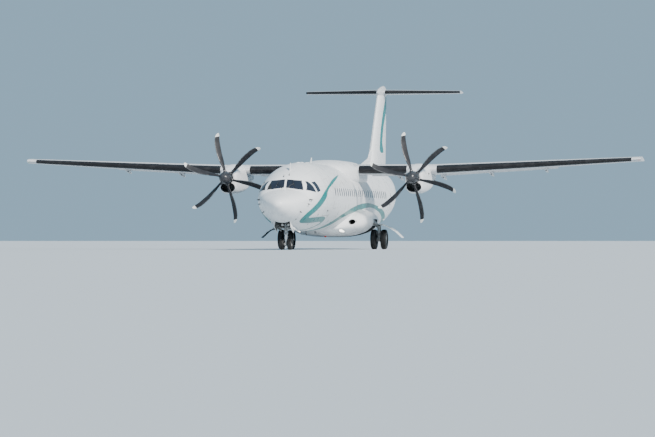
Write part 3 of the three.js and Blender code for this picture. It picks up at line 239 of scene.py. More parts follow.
NOSE_BAND = [
    [(8.2, 133), (7.0, 128), (5.5, 120), (4.3, 111), (3.52, 104.5), (3.10, 99.9), (2.57, 89.8),
     (1.99, 76.5), (1.64, 64.2), (1.47, 51.3), (1.49, 39.2), (1.65, 32.6), (1.91, 31.5), (2.32, 34.5),
     (2.94, 37.9), (3.64, 41.4), (4.21, 42.8), (4.48, 41.9), (4.44, 37.5), (4.19, 28.5), (3.92, 17.5),
     (3.76, 0), (3.76, -10)],
    [(8.2, 133), (7.0, 124), (5.5, 114), (4.3, 106), (3.74, 100.4), (3.53, 90.9), (2.78, 75.6),
     (2.30, 63.1), (2.03, 53.5), (1.99, 48.5), (2.41, 50.8), (3.09, 53.2), (3.86, 55.0), (4.44, 53.9),
     (4.78, 49.2), (4.81, 41.9), (4.69, 34.5), (4.39, 23.3), (4.23, 11.8), (4.18, 0), (4.18, -10)],
]
BELLY_BAND = [
    [(5.5, -10), (5.5, 0), (5.6, 10), (5.88, 22), (6.40, 37.6), (7.28, 53.1), (7.94, 60.2), (8.75, 67),
     (9.7, 73.1), (10.74, 78), (12.2, 82), (13.6, 83), (15.0, 81), (16.36, 77.5), (17.11, 74.5),
     (17.71, 71.5), (18.27, 67.8), (18.85, 62.1), (19.39, 54.8), (19.72, 48.9), (20.1, 38), (20.3, 20),
     (20.35, 0), (20.35, -10)],
    [(6.35, -10), (6.35, 0), (6.4, 6), (6.58, 17.3), (7.5, 39.4), (8.16, 49.7), (8.86, 55.9),
     (9.71, 61.4), (10.72, 65.5), (11.83, 69.5), (12.89, 73.2), (14.22, 75.5), (15.40, 73), (16.20, 70),
     (16.87, 67), (17.69, 62), (18.44, 55), (19.01, 46), (19.3, 35), (19.5, 20), (19.55, 0), (19.55, -10)],
]
TAIL_EDGE = [(20.75, -10), (20.75, 0), (20.9, 34), (21.3, 50), (22.3, 72), (23.6, 92), (25, 112),
             (26.0, 135), (26.9, 160), (27.4, 200)]
FIN_FLASH = [
    (25.13, 4.50), (24.23, 4.44), (23.66, 4.53), (23.83, 4.95), (23.99, 5.30), (24.24, 5.64), (24.50, 5.95),
    (24.9, 6.35), (25.4, 6.75), (26.1, 7.2), (27.2, 7.2), (27.2, 6.75), (26.3, 6.40), (25.66, 6.05),
    (25.13, 5.74), (24.86, 5.44), (24.71, 5.18), (24.54, 4.96), (24.68, 4.82), (24.99, 4.70),
]
GIRTH_METRES = math.radians(HULL_RADIUS)
BEHIND_TAIL = [(30, 200 * GIRTH_METRES), (30, -10 * GIRTH_METRES)]


def unrolled(line):
    return [(s, girth * GIRTH_METRES) for s, girth in rounded(line)]


nose_band = unrolled(NOSE_BAND[0]) + unrolled(NOSE_BAND[1])[::-1]
belly_outer, belly_inner = map(unrolled, BELLY_BAND)
tail_area = unrolled(TAIL_EDGE) + BEHIND_TAIL
fin_flash = rounded(FIN_FLASH + FIN_FLASH[:1])


def hull_paint(co):
    """How far inside the coloured bands each point of the fuselage lies."""
    points = np.stack([co[:, 1] - NOSE_Y, hull.girth(co) * GIRTH_METRES], axis=1)
    ring = np.minimum(depth_inside(points, belly_outer), -depth_inside(points, belly_inner))
    return np.maximum.reduce([depth_inside(points, nose_band), ring, depth_inside(points, tail_area)])


def fin_paint(co):
    return depth_inside(np.stack([co[:, 1] - NOSE_Y, co[:, 2]], axis=1), fin_flash)


# Materials


def is_socket(value):
    return isinstance(value, bpy.types.NodeSocket)


class Look:
    """A material whose colour, roughness and bump come from nodes on the object's own coordinates."""

    def __init__(self, name, **constants):
        self.material = bpy.data.materials.new(name)
        self.material.use_nodes = True
        self.tree = self.material.node_tree
        self.shader = next(n for n in self.tree.nodes if n.type == "BSDF_PRINCIPLED")
        self.place = self.add("TexCoord").outputs["Object"]
        for key, value in constants.items():
            self.shader.inputs[key.replace("_", " ")].default_value = value

    def add(self, kind, inputs=(), **settings):
        """A shader node with its settings, and its inputs as numbers or as other nodes' outputs."""
        made = self.tree.nodes.new("ShaderNode" + kind)
        for key, value in settings.items():
            setattr(made, key, value)
        for key, value in dict(inputs).items():
            if is_socket(value):
                self.tree.links.new(value, made.inputs[key])
            else:
                made.inputs[key].default_value = value
        return made

    def noise(self, scale, detail=4.0, stretch=None):
        place = self.place
        if stretch:
            place = self.add("Mapping", {"Vector": place, "Scale": stretch}).outputs["Vector"]
        return self.add("TexNoise", {"Vector": place, "Scale": scale, "Detail": detail}).outputs["Fac"]

    def wave(self, scale):
        return self.add("TexWave", {"Vector": self.place, "Scale": scale}, bands_direction="X").outputs["Fac"]

    def between(self, value, low, high, to_low=0.0, to_high=1.0):
        return self.add("MapRange", {"Value": value, "From Min": low, "From Max": high, "To Min": to_low,
                                     "To Max": to_high}).outputs["Result"]

    def maths(self, operation, a, b=0.0):
        return self.add("Math", {0: a, 1: b}, operation=operation).outputs[0]

    def mixed(self, share, first, second):
        first, second = (v if is_socket(v) else (*v, 1.0) for v in (first, second))
        return self.add("Mix", {0: share, 6: first, 7: second}, data_type="RGBA").outputs[2]

    def bump(self, height, strength, distance, onto=None):
        under = {} if onto is None else {"Normal": onto}
        inputs = {"Height": height, "Strength": strength, "Distance": distance, **under}
        return self.add("Bump", inputs).outputs["Normal"]

    def finish(self, colour, roughness, normal=None, metallic=None):
        for key, value in (("Base Color", colour), ("Roughness", roughness), ("Normal", normal),
                           ("Metallic", metallic)):
            if value is not None:
                self.tree.links.new(value, self.shader.inputs[key])
        return self.material


def shade(colour, factor):
    return tuple(min(1.0, c * factor) for c in colour)


def seams(look, along, across, panel):
    """A mask of thin lines between panels of a size, on two of the object's coordinates."""
    joined = look.add("CombineXYZ", {"X": along, "Y": across})
    bricks = look.add("TexBrick", {
        "Vector": joined.outputs[0], "Color1": (0, 0, 0, 1), "Color2": (0, 0, 0, 1), "Mortar": (1, 1, 1, 1),
        "Scale": 1.0, "Mortar Size": 0.004, "Mortar Smooth": 0.3, "Brick Width": panel[0],
        "Row Height": panel[1]})
    return bricks.outputs["Fac"]


def paint(name, colour, stain_and_shade_strength=0.35, panel=(2.4, 0.9), way="round"):
    """Gloss aircraft paint: slight tone changes, airflow stains that darken only faces looking down (a
    painted shade under the body mixed with real stains), and panel seams.
    """
    look = Look(name, Coat_Weight=0.1, Coat_Roughness=0.1, Specular_IOR_Level=0.2)
    x, y, z = look.add("SeparateXYZ", {"Vector": look.place}).outputs
    across = {"x": x, "z": z}.get(way)
    if across is None:
        turn = look.maths("ARCTAN2", look.maths("ABSOLUTE", x), look.maths("SUBTRACT", z, HULL_MIDDLE))
        across = look.maths("MULTIPLY", turn, HULL_RADIUS)
    lines = seams(look, y, across, panel)
    tone = look.noise(0.8, 5.0)
    streaks = look.between(look.noise(2.0, 2.5, (3.0, 0.3, 3.0)), 0.45, 0.85)
    # Faces that look down get the darker streaks: painted shade under the body, on top of real airflow
    # stains.
    facing = look.add("SeparateXYZ", {"Vector": look.add("NewGeometry").outputs["Normal"]}).outputs["Z"]
    painted_shade_underneath = look.between(facing, 0.1, -0.9, 0.15, 1.0)
    stain_and_shade_mask = look.maths("MULTIPLY", look.maths("MULTIPLY", streaks, painted_shade_underneath), stain_and_shade_strength)
    clean = look.mixed(tone, shade(colour, 0.93), shade(colour, 1.05))
    stained_and_shaded = look.mixed(stain_and_shade_mask, clean, shade(colour, 0.45))
    final = look.mixed(look.maths("MULTIPLY", lines, 0.55), stained_and_shaded, shade(colour, 0.35))
    rough = look.between(look.noise(3.0, 2.0), 0.3, 0.7, 0.25, 0.38)
    fine = look.bump(look.noise(1.4, 2.0), 0.08, 0.02)
    return look.finish(final, rough, look.bump(lines, -0.5, 0.004, fine))


def rubber(name, colour, scale, dust_share=0.5, stripe=None):
    """Rubber with a fine grain, dust and, on a boot, the lines of its tubes."""
    look = Look(name, Specular_IOR_Level=0.3)
    dust = look.between(look.noise(4.0, 6.0), 0.45, 0.9, 0.0, dust_share)
    normal = look.bump(look.noise(scale, 4.0), 0.25, 0.002)
    if stripe:
        normal = look.bump(look.wave(stripe), 0.25, 0.003, normal)
    colours = look.mixed(dust, colour, shade(tuple(c + 0.02 for c in colour), 2.2))
    return look.finish(colours, look.between(dust, 0, 1, 0.5, 0.85), normal)


def metal(name, colour, wear, metallic=1.0, rough=(0.28, 0.5), scale=14.0):
    """Bare or coated metal with worn and stained patches."""
    look = Look(name, Specular_IOR_Level=0.5)
    patches = look.between(look.noise(scale, 6.0), 0.42, 0.7)
    fine = look.noise(scale * 8, 3.0)
    roughness = look.between(look.maths("ADD", patches, fine), 0.2, 1.4, *rough)
    metallic_value = look.between(patches, 0, 1, metallic, max(metallic - 0.3, 0))
    return look.finish(look.mixed(patches, colour, wear), roughness, look.bump(fine, 0.12, 0.001),
                       metallic_value)


def glass(name, colour):
    """Dark coated window glass, a little uneven."""
    look = Look(name, Coat_Weight=0.2, Coat_Roughness=0.03, Specular_IOR_Level=0.35, IOR=1.45)
    haze = look.noise(3.0, 3.0)
    colours = look.mixed(haze, shade(colour, 0.7), shade(colour, 1.8))
    normal = look.bump(look.noise(0.9, 1.0), 0.05, 0.02)
    return look.finish(colours, look.between(haze, 0.3, 0.7, 0.03, 0.1), normal)


def lamp(name, colour, strength):
    """A lit lens with a faint ribbed pattern."""
    look = Look(name, Coat_Weight=1.0, Coat_Roughness=0.05, Emission_Strength=strength)
    ribs = look.wave(30.0)
    colours = look.mixed(ribs, shade(colour, 0.85), colour)
    look.tree.links.new(colours, look.shader.inputs["Emission Color"])
    return look.finish(colours, look.between(ribs, 0, 1, 0.08, 0.2))


def backdrop(name, colour):
    look = Look(name, Specular_IOR_Level=0.2)
    cloud = look.noise(0.05, 2.0)
    return look.finish(look.mixed(cloud, shade(colour, 0.985), colour), look.between(cloud, 0, 1, 0.85, 0.95))


WHITE, TEAL = (0.82, 0.83, 0.84), (0.0, 0.20, 0.20)
NO_SEAMS = (9.0, 9.0)
looks = {name: kind(name, *rest) for kind, name, *rest in (
    (paint, "hull_white", WHITE),
    (paint, "hull_teal", TEAL, 0.25),
    (paint, "fairing_white", WHITE, 0.45, (1.6, 0.7), "x"),
    # The wings, flaps, ailerons, tailplane and elevators get the white made darker than the hull's (0.62
    # against 0.82): a painted shade.
    (paint, "wing_white", (0.62, 0.63, 0.65), 0.4, (1.1, 0.55), "x"),
    (paint, "tail_white", WHITE, 0.2, (1.3, 0.8), "z"),
    (paint, "tail_teal", TEAL, 0.2, (1.3, 0.8), "z"),
    (paint, "door_white", WHITE, 0.4, NO_SEAMS, "x"),
    (paint, "blade_tip", (0.75, 0.76, 0.74), 0.1, NO_SEAMS, "x"),
    (rubber, "boot", (0.009, 0.009, 0.011), 60.0, 0.35, 9.0),
    (rubber, "blade", (0.018, 0.019, 0.023), 90.0, 0.3),
    (rubber, "tyre", (0.012, 0.012, 0.012), 120.0),
    (metal, "blade_edge", (0.11, 0.11, 0.115), (0.2, 0.2, 0.2), 0.8, (0.3, 0.45), 12.0),
    (metal, "spinner", (0.03, 0.032, 0.037), (0.06, 0.06, 0.065), 0.1, (0.2, 0.35), 5.0),
    (metal, "wheel", (0.55, 0.56, 0.57), (0.2, 0.19, 0.17), 0.7),
    (metal, "gear", (0.42, 0.44, 0.45), (0.18, 0.16, 0.14), 0.15, (0.35, 0.6), 9.0),
    (metal, "chrome", (0.75, 0.76, 0.78), (0.6, 0.6, 0.6), 1.0, (0.08, 0.2), 20.0),
    (metal, "exhaust", (0.22, 0.19, 0.17), (0.07, 0.06, 0.055), 0.9, (0.35, 0.6), 7.0),
    (metal, "bay", (0.09, 0.10, 0.10), (0.03, 0.03, 0.03), 0.0, (0.5, 0.8), 3.0),
    (metal, "black", (0.015, 0.015, 0.017), (0.03, 0.03, 0.03), 0.0, (0.35, 0.6), 12.0),
    (metal, "cabin", (0.50, 0.49, 0.46), (0.42, 0.41, 0.39), 0.0, (0.5, 0.7), 3.0),
    (metal, "lining", (0.10, 0.105, 0.10), (0.05, 0.05, 0.048), 0.0, (0.5, 0.7), 4.0),
    (glass, "glass", (0.012, 0.016, 0.026)),
    (lamp, "lamp", (1.0, 0.97, 0.88), 6.0),
    (lamp, "lamp_lens", (0.75, 0.77, 0.78), 0.1),
    (lamp, "red_lamp", (0.55, 0.02, 0.015), 0.25),
    (lamp, "green_lamp", (0.02, 0.45, 0.1), 0.25),
)}

# Pieces that stand for nodes

SKIN_FACE, INNER_FACE, BAND_FACE, PROUD_FACE, CABIN_FACE = range(5)
EDGE_STEPS = (8, 4, 2, 1, 0.5, 0.25, 0.13)
HULL_FINE_EDGE, HULL_FINE_REACH, TAIL_FINE_EDGES = 0.075, 0.04, (0.07, 0.035)
SHARP_ANGLE = math.radians(32)
WELD_DISTANCE = 2e-5
NEAR_END, NEAR_PAINT_EDGE, TUCK_DEPTH = 2e-3, 2e-3, 0.03
LOOKS_OUT, LOOKS_AHEAD, LOOKS_IN = 0.5, 0.9, 0.3  # least parts of a face's normal along a way
CABIN_STATIONS, CABIN_FLOOR = ((3.2, 5.2), (14.8, 20.5)), 1.3


def show(name, mesh, materials, body, replaces=()):
    """A new piece that rides on a body and stands for the named nodes."""
    for key in materials:
        mesh.materials.append(looks[key])
    made = bpy.data.objects.new(name, mesh)
    bpy.context.scene.collection.objects.link(made)
    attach(made, body)
    if replaces:
        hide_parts(*replaces)


def to_mesh(bm, name, sharp=None):
    """A smooth shaded mesh, with its edges sharp from an angle up."""
    mesh = bpy.data.meshes.new(name)
    bm.to_mesh(mesh)
    bm.free()
    mesh.polygons.foreach_set("use_smooth", [True] * len(mesh.polygons))
    if sharp:
        mesh.set_sharp_from_angle(angle=sharp)
    return mesh


def coordinates(bm):
    return np.array([v.co[:] for v in bm.verts], float).reshape(-1, 3)


def welded(node, mark=INNER_FACE):
    """A node's mesh with its corners joined, in triangles, and every face with one mark."""
    bm = bmesh.new()
    bm.from_mesh(NODES[node].data)
    bmesh.ops.remove_doubles(bm, verts=bm.verts, dist=WELD_DISTANCE)
    bmesh.ops.triangulate(bm, faces=bm.faces)
    for face in bm.faces:
        face.material_index = mark
    bm.normal_update()
    return bm


def mark_skin(bm, skin):
    """Marks the faces on the body's own faceted surface that look outward, and those that stand proud."""
    off = skin.off_facets(coordinates(bm))
    near, proud = np.abs(off) < FACET_SLACK, off > -FACET_SLACK
    middles = np.array([f.calc_center_median()[:] for f in bm.faces])
    normals = np.array([f.normal[:] for f in bm.faces])
    outward = (skin.normals(middles) * normals).sum(axis=1) > LOOKS_OUT
    from_ends = np.abs(middles[:, 1, None] - NOSE_Y - skin.s[[0, -1]]).min(axis=1)
    at_end = (from_ends < NEAR_END) & (np.abs(normals[:, 1]) > LOOKS_AHEAD)
    bm.verts.index_update()
    for face, out, end in zip(bm.faces, outward, at_end):
        all_near = all(near[v.index] for v in face.verts)
        if out and all_near and not end:
            face.material_index = SKIN_FACE
        elif end or (all(proud[v.index] for v in face.verts) and not all_near):
            face.material_index = PROUD_FACE


def split_edges(bm, limit, band=None, reach=0.0):
    """Halves the skin's edges longer than a limit, all of them or those near the edge of a band."""
    bm.verts.index_update()
    near = np.abs(band(coordinates(bm))) < reach if band else np.ones(len(bm.verts), bool)
    edges = [e for e in bm.edges if e.calc_length() > limit and any(near[v.index] for v in e.verts)
             and any(f.material_index == SKIN_FACE for f in e.link_faces)]
    bmesh.ops.subdivide_edges(bm, edges=edges, cuts=1)
    bmesh.ops.triangulate(bm, faces=[f for f in bm.faces if len(f.verts) > 3])


def split_paint(bm, paint_depth):
    """Cuts the skin along the edge of the bands, and marks the faces inside them."""
    level = bm.verts.layers.float.new("level")
    for vert, depth in zip(bm.verts, paint_depth(coordinates(bm))):
        vert[level] = 0.0 if abs(depth) < NEAR_PAINT_EDGE else depth
    for edge in list(bm.edges):
        a, b = edge.verts
        if a[level] * b[level] < 0 and any(f.material_index == SKIN_FACE for f in edge.link_faces):
            _, cut = bmesh.utils.edge_split(edge, a, a[level] / (a[level] - b[level]))
            cut[level] = 0.0
    for face in [f for f in bm.faces if f.material_index == SKIN_FACE]:
        levels = [v[level] for v in face.verts]
        on_line = [v for v in face.verts if v[level] == 0.0]
        if min(levels) < 0 < max(levels) and len(on_line) == 2:
            bmesh.utils.face_split(face, *on_line)
    for face in bm.faces:
        if face.material_index == SKIN_FACE and max(v[level] for v in face.verts) > 0:
            face.material_index = BAND_FACE
    bm.verts.layers.float.remove(level)


def in_cabin(place):
    s = place.y - NOSE_Y
    return place.z > CABIN_FLOOR and any(low < s < high for low, high in CABIN_STATIONS)


def smoothed(node, skin, materials, band=None, out=0.0, tucked=None, steps=EDGE_STEPS):
    """A copy of a node whose skin follows the smooth surface and has its normals. Corners on `tucked`
    go inside that body."""
    bm = welded(node)
    mark_skin(bm, skin)
    for limit in steps:
        split_edges(bm, limit)
    if band:
        split_edges(bm, HULL_FINE_EDGE, band, HULL_FINE_REACH)
        split_paint(bm, band)
    co = coordinates(bm)
    bm.verts.index_update()
    on_skin = np.zeros(len(co), bool)
    for face in bm.faces:
        if face.material_index in (SKIN_FACE, BAND_FACE):
            on_skin[[v.index for v in face.verts]] = True
    moved = co.copy()
    moved[on_skin] = skin.onto(co[on_skin], out)
    if tucked is not None:
        hidden = np.abs(tucked.off_facets(co)) < FACET_SLACK
        moved[hidden] -= TUCK_DEPTH * tucked.normals(co[hidden])
    for vert, place in zip(bm.verts, moved):
        vert.co = place
    for face in bm.faces:
        if "cabin" in materials and face.material_index == INNER_FACE and in_cabin(face.calc_center_median()):
            face.material_index = CABIN_FACE
    bm.normal_update()
    mesh = to_mesh(bm, node + "_smooth")
    smooth = skin.normals(np.array([v.co[:] for v in mesh.vertices]))
    normals = np.empty((len(mesh.loops), 3))
    for face in mesh.polygons:
        for loop in face.loop_indices:
            inner = face.material_index not in (SKIN_FACE, BAND_FACE)
            normals[loop] = face.normal if inner else smooth[mesh.loops[loop].vertex_index]
    mesh.normals_split_custom_set(normals.tolist())
    show(node + "_smooth", mesh, materials, BODY_OF[node], (node,))


for node in ("fuselage", "cargo_door", "passenger_door"):
    smoothed(node, hull, ("hull_white", "bay", "hull_teal", "hull_white", "cabin"), band=hull_paint)
FAIRING_LOOKS = ("fairing_white", "bay", "hull_teal", "fairing_white")
for label, side in SIDES:
    for pane in ("windscreen", "side_window_forward", "side_window_aft"):
        smoothed(f"{pane}_{label}", hull, ("glass", "black", "glass", "black"), out=-0.003)
for label, side in SIDES:
    smoothed(f"nacelle_{label}", nacelles[label], FAIRING_LOOKS, steps=EDGE_STEPS + (0.08,))
smoothed("wing_fairing", wing_hump, FAIRING_LOOKS, tucked=hull)
smoothed("belly_fairing", belly, FAIRING_LOOKS, tucked=hull)


def banded(node, materials, band):
    """A copy of a node, with its own shape, that is cut where the paint changes. Each corner keeps
    the normal that the uncut shape has there."""
    bm = welded(node, SKIN_FACE)
    kept, in_line = bm.loops.layers.float_vector.new("kept"), math.cos(SHARP_ANGLE)
    for face in bm.faces:
        for loop in face.loops:
            around = [l for l in loop.vert.link_loops if l.face.normal.dot(face.normal) > in_line]
            loop[kept] = sum((l.face.normal * l.calc_angle() for l in around), Vector()).normalized()
    for limit in EDGE_STEPS:
        split_edges(bm, limit)
    for limit in TAIL_FINE_EDGES:
        split_edges(bm, limit, band, limit)
    split_paint(bm, band)
    mesh = to_mesh(bm, node + "_painted")
    normals = np.empty(3 * len(mesh.loops))
    mesh.attributes["kept"].data.foreach_get("vector", normals)
    mesh.attributes.remove(mesh.attributes["kept"])
    mesh.normals_split_custom_set(normals.reshape(-1, 3).tolist())
    show(node + "_painted", mesh, materials, BODY_OF[node], (node,))


# Plan of the tailplane: half span, the leading edge's station and sweep, chord and taper, and height
TAIL_HALF, TAIL_LEAD, TAIL_SWEEP, TAIL_CHORD, TAIL_TAPER, TAIL_Z = 3.655, 25.13, 0.65, 2.036, 0.826, 7.33
BOOT_SHARE, BOOT_START = 0.09, 0.2


def tail_boot(co):
    """How far ahead of the rear edge of the tailplane's rubber boots each point lies."""
    out = np.abs(co[:, 0]) / TAIL_HALF
    edge = NOSE_Y + TAIL_LEAD + TAIL_SWEEP * out + BOOT_SHARE * (TAIL_CHORD - TAIL_TAPER * out)
    return np.minimum(edge - co[:, 1], np.abs(co[:, 0]) - BOOT_START)


for node in ("fin", "rudder"):
    banded(node, ("tail_white", "bay", "tail_teal"), fin_paint)
banded("tailplane", ("wing_white", "bay", "boot"), tail_boot)

# Shapes for the fittings


class Build:
    """Gathers simple shapes into one mesh. `look` is a shape's place in the list of materials."""

    def __init__(self, *looks):
        self.bm, self.looks = bmesh.new(), looks

    def grid(self, rows, look=0, looped=False, caps=False, away_from=None):
        """Quads between rings of points, the last ring and the first too where they are looped. An open
        sheet faces away from a point, and a closed shape faces outward."""
        rows = [[self.bm.verts.new(p) for p in row] for row in rows]
        made = []
        for a, b in zip(rows, rows[1:] + (rows[:1] if looped else [])):
            for j in range(len(a)):
                k = (j + 1) % len(a)
                made.append(self.bm.faces.new((a[j], b[j], b[k], a[k])))
        if caps:
            made += [self.bm.faces.new(rows[0][::-1]), self.bm.faces.new(rows[-1])]
        return self.settle(made, look, away_from)

    def settle(self, made, look, away_from=None):
        if away_from is None:
            bmesh.ops.recalc_face_normals(self.bm, faces=made)
        for face in made:
            face.material_index = look
            face.normal_update()
            if away_from is not None:
                if face.normal.dot(face.calc_center_median() - Vector(away_from)) < 0:
                    face.normal_flip()
        return made

    def lathe(self, outline, centre, axis, look=0, segments=64, closed=False):
        """An outline of (radius, distance along the axis) turned about the x, y or z axis."""
        axis = "xyz".index(axis)
        first, second = [k for k in range(3) if k != axis]
        rows = []
        for radius, along in outline:
            ring = np.tile(np.asarray(centre, float), (segments, 1))
            ring[:, axis] += along
            ring[:, first] += radius * np.cos(circle(segments))
            ring[:, second] += radius * np.sin(circle(segments))
            rows.append(ring)
        return self.grid(rows, look, closed, caps=not closed)

    def tube(self, path, radius, look=0, sides=12, curved=False):
        """A round bar or pipe along a path, with one radius or one at each point."""
        path = np.asarray(path, float)
        radius = np.broadcast_to(np.asarray(radius, float), len(path))
        if curved:
            at = np.linspace(0, len(path) - 1, 6 * len(path))
            path = np.stack([through(range(len(path)), column, at) for column in path.T], axis=1)
            radius = np.interp(at, range(len(radius)), radius)
        tangents = np.gradient(path, axis=0)
        tangents /= np.linalg.norm(tangents, axis=1)[:, None]
        normal = np.cross(tangents[0], (0, 0, 1) if abs(tangents[0][2]) < 0.9 else (1, 0, 0))
        cos, sin = np.cos(circle(sides)), np.sin(circle(sides))
        rows = []
        for place, along, size in zip(path, tangents, radius):
            normal = normal - along * normal.dot(along)
            normal = normal / np.linalg.norm(normal)
            rows.append(place + size * (np.outer(cos, normal) + np.outer(sin, np.cross(along, normal))))
        return self.grid(rows, look, caps=True)

    def pin(self, centre, half, radius, look=0, sides=20):
        """A round bar that reaches equally far both ways from its centre."""
        centre, half = np.asarray(centre, float), np.asarray(half, float)
        self.tube([centre - half, centre + half], radius, look, sides)

    def vane(self, root, up, height, chords, sweep, thickness, look=0):
        """A swept blade such as an aerial: chords at root and tip, and how far the tip lies aft."""
        up, root = Vector(up).normalized(), Vector(root)
        aft = Vector((0, 1, 0))
        aft = (aft - up * aft.dot(up)).normalized()
        across = up.cross(aft)
        rows = []
        for share, shrink in ((-0.1, 1.0), (0.0, 1.0), (0.5, 1.0), (0.85, 0.97), (0.96, 0.85), (1.0, 0.45)):
            chord = chords[0] + (chords[1] - chords[0]) * max(share, 0)
            middle = root + up * height * share + aft * sweep * max(share, 0)
            rows.append([middle + aft * (0.5 * chord * shrink * math.cos(a))
                         + across * (0.5 * thickness * shrink * math.sin(a)) for a in circle(16)])
        return self.grid(rows, look, caps=True)

    def block(self, centre, size, look=0, soft=0.15):
        """A block with rounded edges."""
        made = bmesh.ops.create_cube(self.bm, size=1.0)["verts"]
        for vert in made:
            vert.co = Vector(centre) + Vector([c * s for c, s in zip(vert.co, size)])
        edges = list({e for v in made for e in v.link_edges})
        cut = bmesh.ops.bevel(self.bm, geom=edges, offset=soft * min(size), segments=2, profile=0.5,
                              affect="EDGES")
        return self.settle(list({f for v in cut["verts"] for f in v.link_faces}), look)

    def show(self, name, body="airframe", slot="gear_metal", replaces=(), sharp=38):
        show(name, to_mesh(self.bm, name, math.radians(sharp)), self.looks, body, replaces)


def rounded_box(half_width, half_height, power, steps):
    """Points round a rectangle with soft corners, as pairs."""
    return np.stack([half * np.sign(f(circle(steps))) * np.abs(f(circle(steps))) ** (2 / power)
                     for half, f in ((half_width, np.cos), (half_height, np.sin))], axis=1)


def front_station(skin, x, z, reach):
    """The station where the front of a body reaches a point of its front view."""
    low, high = skin.s[0], skin.s[0] + reach
    for _ in range(30):
        middle = (low + high) / 2
        if skin.level(np.array([[x, middle + NOSE_Y, z]]))[0] > 1:
            low = middle
        else:
            high = middle
    return high


def front_ring(skin, middle, radii, count, reach=1.2):
    """Points on the front of a body round an oval in its front view, whose radii are across, up and down."""
    ring = []
    for a in circle(count):
        x = middle[0] + radii[0] * math.cos(a)
        z = middle[1] + radii[1 if math.sin(a) > 0 else -1] * math.sin(a)
        ring.append((x, front_station(skin, x, z, reach) + NOSE_Y, z))
    return np.array(ring)


def lip(build, ring, thickness, look=0):
    """A rounded edge along a closed ring."""
    away = ring - ring.mean(axis=0)
    away[:, 1] = 0
    away /= np.linalg.norm(away, axis=1)[:, None]
    rows = [ring + thickness * (math.cos(a) * away + np.array((0, math.sin(a), 0))) for a in circle(10)]
    build.grid(rows, look, looped=True)


# Propellers. Blade columns: radius, chord, thickness share, pitch in degrees and sweep.

BLADE = [
    (0.200, 0.115, 0.85, 57, 0), (0.420, 0.138, 0.6, 54, 0.004), (0.720, 0.232, 0.19, 47, 0.032),
    (1.150, 0.261, 0.105, 38, 0.066), (1.560, 0.241, 0.065, 31, 0.048), (1.850, 0.185, 0.055, 27, -0.018),
    (1.965, 0.081, 0.055, 25, -0.075),
]
BLADE_STEPS, SECTION_STEPS = 40, 28
LIGHT_TIP, METAL_EDGE, EDGE_QUADS = 1.80, 0.75, 3  # where the tip's paint and the edge strip start
ROUND_TIP = 1.925  # where the blade's end starts to round off
PROPELLER_Y, PROPELLER_Z, HUB_RADIUS = -4.283, 3.065, 0.272
FIRST_BLADE = 13.0
COLLARS = ((0.235, 0.29, 0.092, 0.092, 3), (0.28, 0.32, 0.08, 0.07, 2))  # inner, outer end, radii, look
DOME_LENGTH, DOME_BLUNTNESS, BOLT_RING, BOLT_BACK = 0.43, 0.86, 0.262, 0.2


def blade_rows():
    table = np.array(BLADE, float)
    radii = table[0, 0] + (table[-1, 0] - table[0, 0]) * np.sin(np.linspace(0, np.pi / 2, BLADE_STEPS))
    chord, thickness, pitch, lean = (through(table[:, 0], column, radii) for column in table[:, 1:].T)
    tip = np.clip((radii - ROUND_TIP) / (table[-1, 0] - ROUND_TIP), 0, 1)
    chord = chord * np.sqrt(1 - 0.97 * tip ** 2)
    angle = circle(SECTION_STEPS)
    u = (1 - np.cos(angle)) / 2
    wing = 5 * (0.2969 * np.sqrt(u) - 0.126 * u - 0.3516 * u ** 2 + 0.2843 * u ** 3 - 0.1036 * u ** 4)
    rows = []
    for r, c, t, p, sweep in zip(radii, chord, thickness, np.radians(pitch), lean):
        round_share = np.clip((t - 0.2) / 0.45, 0, 1)
        half = round_share * np.sqrt(u * (1 - u)) + (1 - round_share) * wing
        out = (np.where(angle < np.pi, half, -half) + 0.2 * u * (1 - u)) * t * c
        along = (u - 0.5) * c
        rows.append(np.stack([along * np.cos(p) + out * np.sin(p) - sweep,
                              along * np.sin(p) - out * np.cos(p), np.full_like(u, r)], axis=1))
    return np.array(rows), radii


for label, side in SIDES:
    hub = np.array((ENGINE_X * side, PROPELLER_Y, PROPELLER_Z))
    build = Build("blade", "blade_tip", "blade_edge", "black")
    rows, radii = blade_rows()
    for k in range(6):
        turn = math.radians(60 * k - FIRST_BLADE)
        c, s = math.cos(turn), math.sin(turn)
        turned = rows @ np.array([[c, 0, s], [0, 1, 0], [-s, 0, c]]).T + hub
        for index, face in enumerate(build.grid(turned, 0, caps=True)[:-2]):
            ring, j = divmod(index, SECTION_STEPS)
            if radii[ring] > LIGHT_TIP:
                face.material_index = 1
            elif radii[ring] > METAL_EDGE and (j < EDGE_QUADS or j >= SECTION_STEPS - EDGE_QUADS):
                face.material_index = 2
        outward = np.array((s, 0, c))
        for low, high, inner, outer, look in COLLARS:
            build.tube([hub + low * outward, hub + high * outward], [inner, outer], look, 32)
    drum = [(0.02, -0.1497), (HUB_RADIUS - 0.006, -0.1497), (HUB_RADIUS, -0.14), (HUB_RADIUS, 0.19),
            (HUB_RADIUS - 0.01, 0.215), (0.11, 0.22), (0.11, 0.81)]
    build.lathe(drum, hub, "y", 3, 96)
    body = f"propeller_{label}_body"
    build.show(f"propeller_{label}_smooth", body, "blade_composite", (f"propeller_{label}",))
    dome = Build("spinner", "gear")
    oval = [(HUB_RADIUS * math.sin(a) ** DOME_BLUNTNESS, -0.15 - DOME_LENGTH * math.cos(a))
            for a in np.linspace(0.02, math.pi / 2, 36)]
    dome.lathe(oval + [(HUB_RADIUS - 0.004, -0.1502)], hub, "y", 0, 96)
    for k in range(12):
        turn = math.radians(30 * k + 10)
        bolt = hub + np.array((BOLT_RING * math.sin(turn), -BOLT_BACK, BOLT_RING * math.cos(turn)))
        dome.pin(bolt, (0, 0.006, 0), 0.009, 1, 8)
    dome.show(f"spinner_{label}_smooth", body, "spinner_paint", (f"spinner_{label}",))
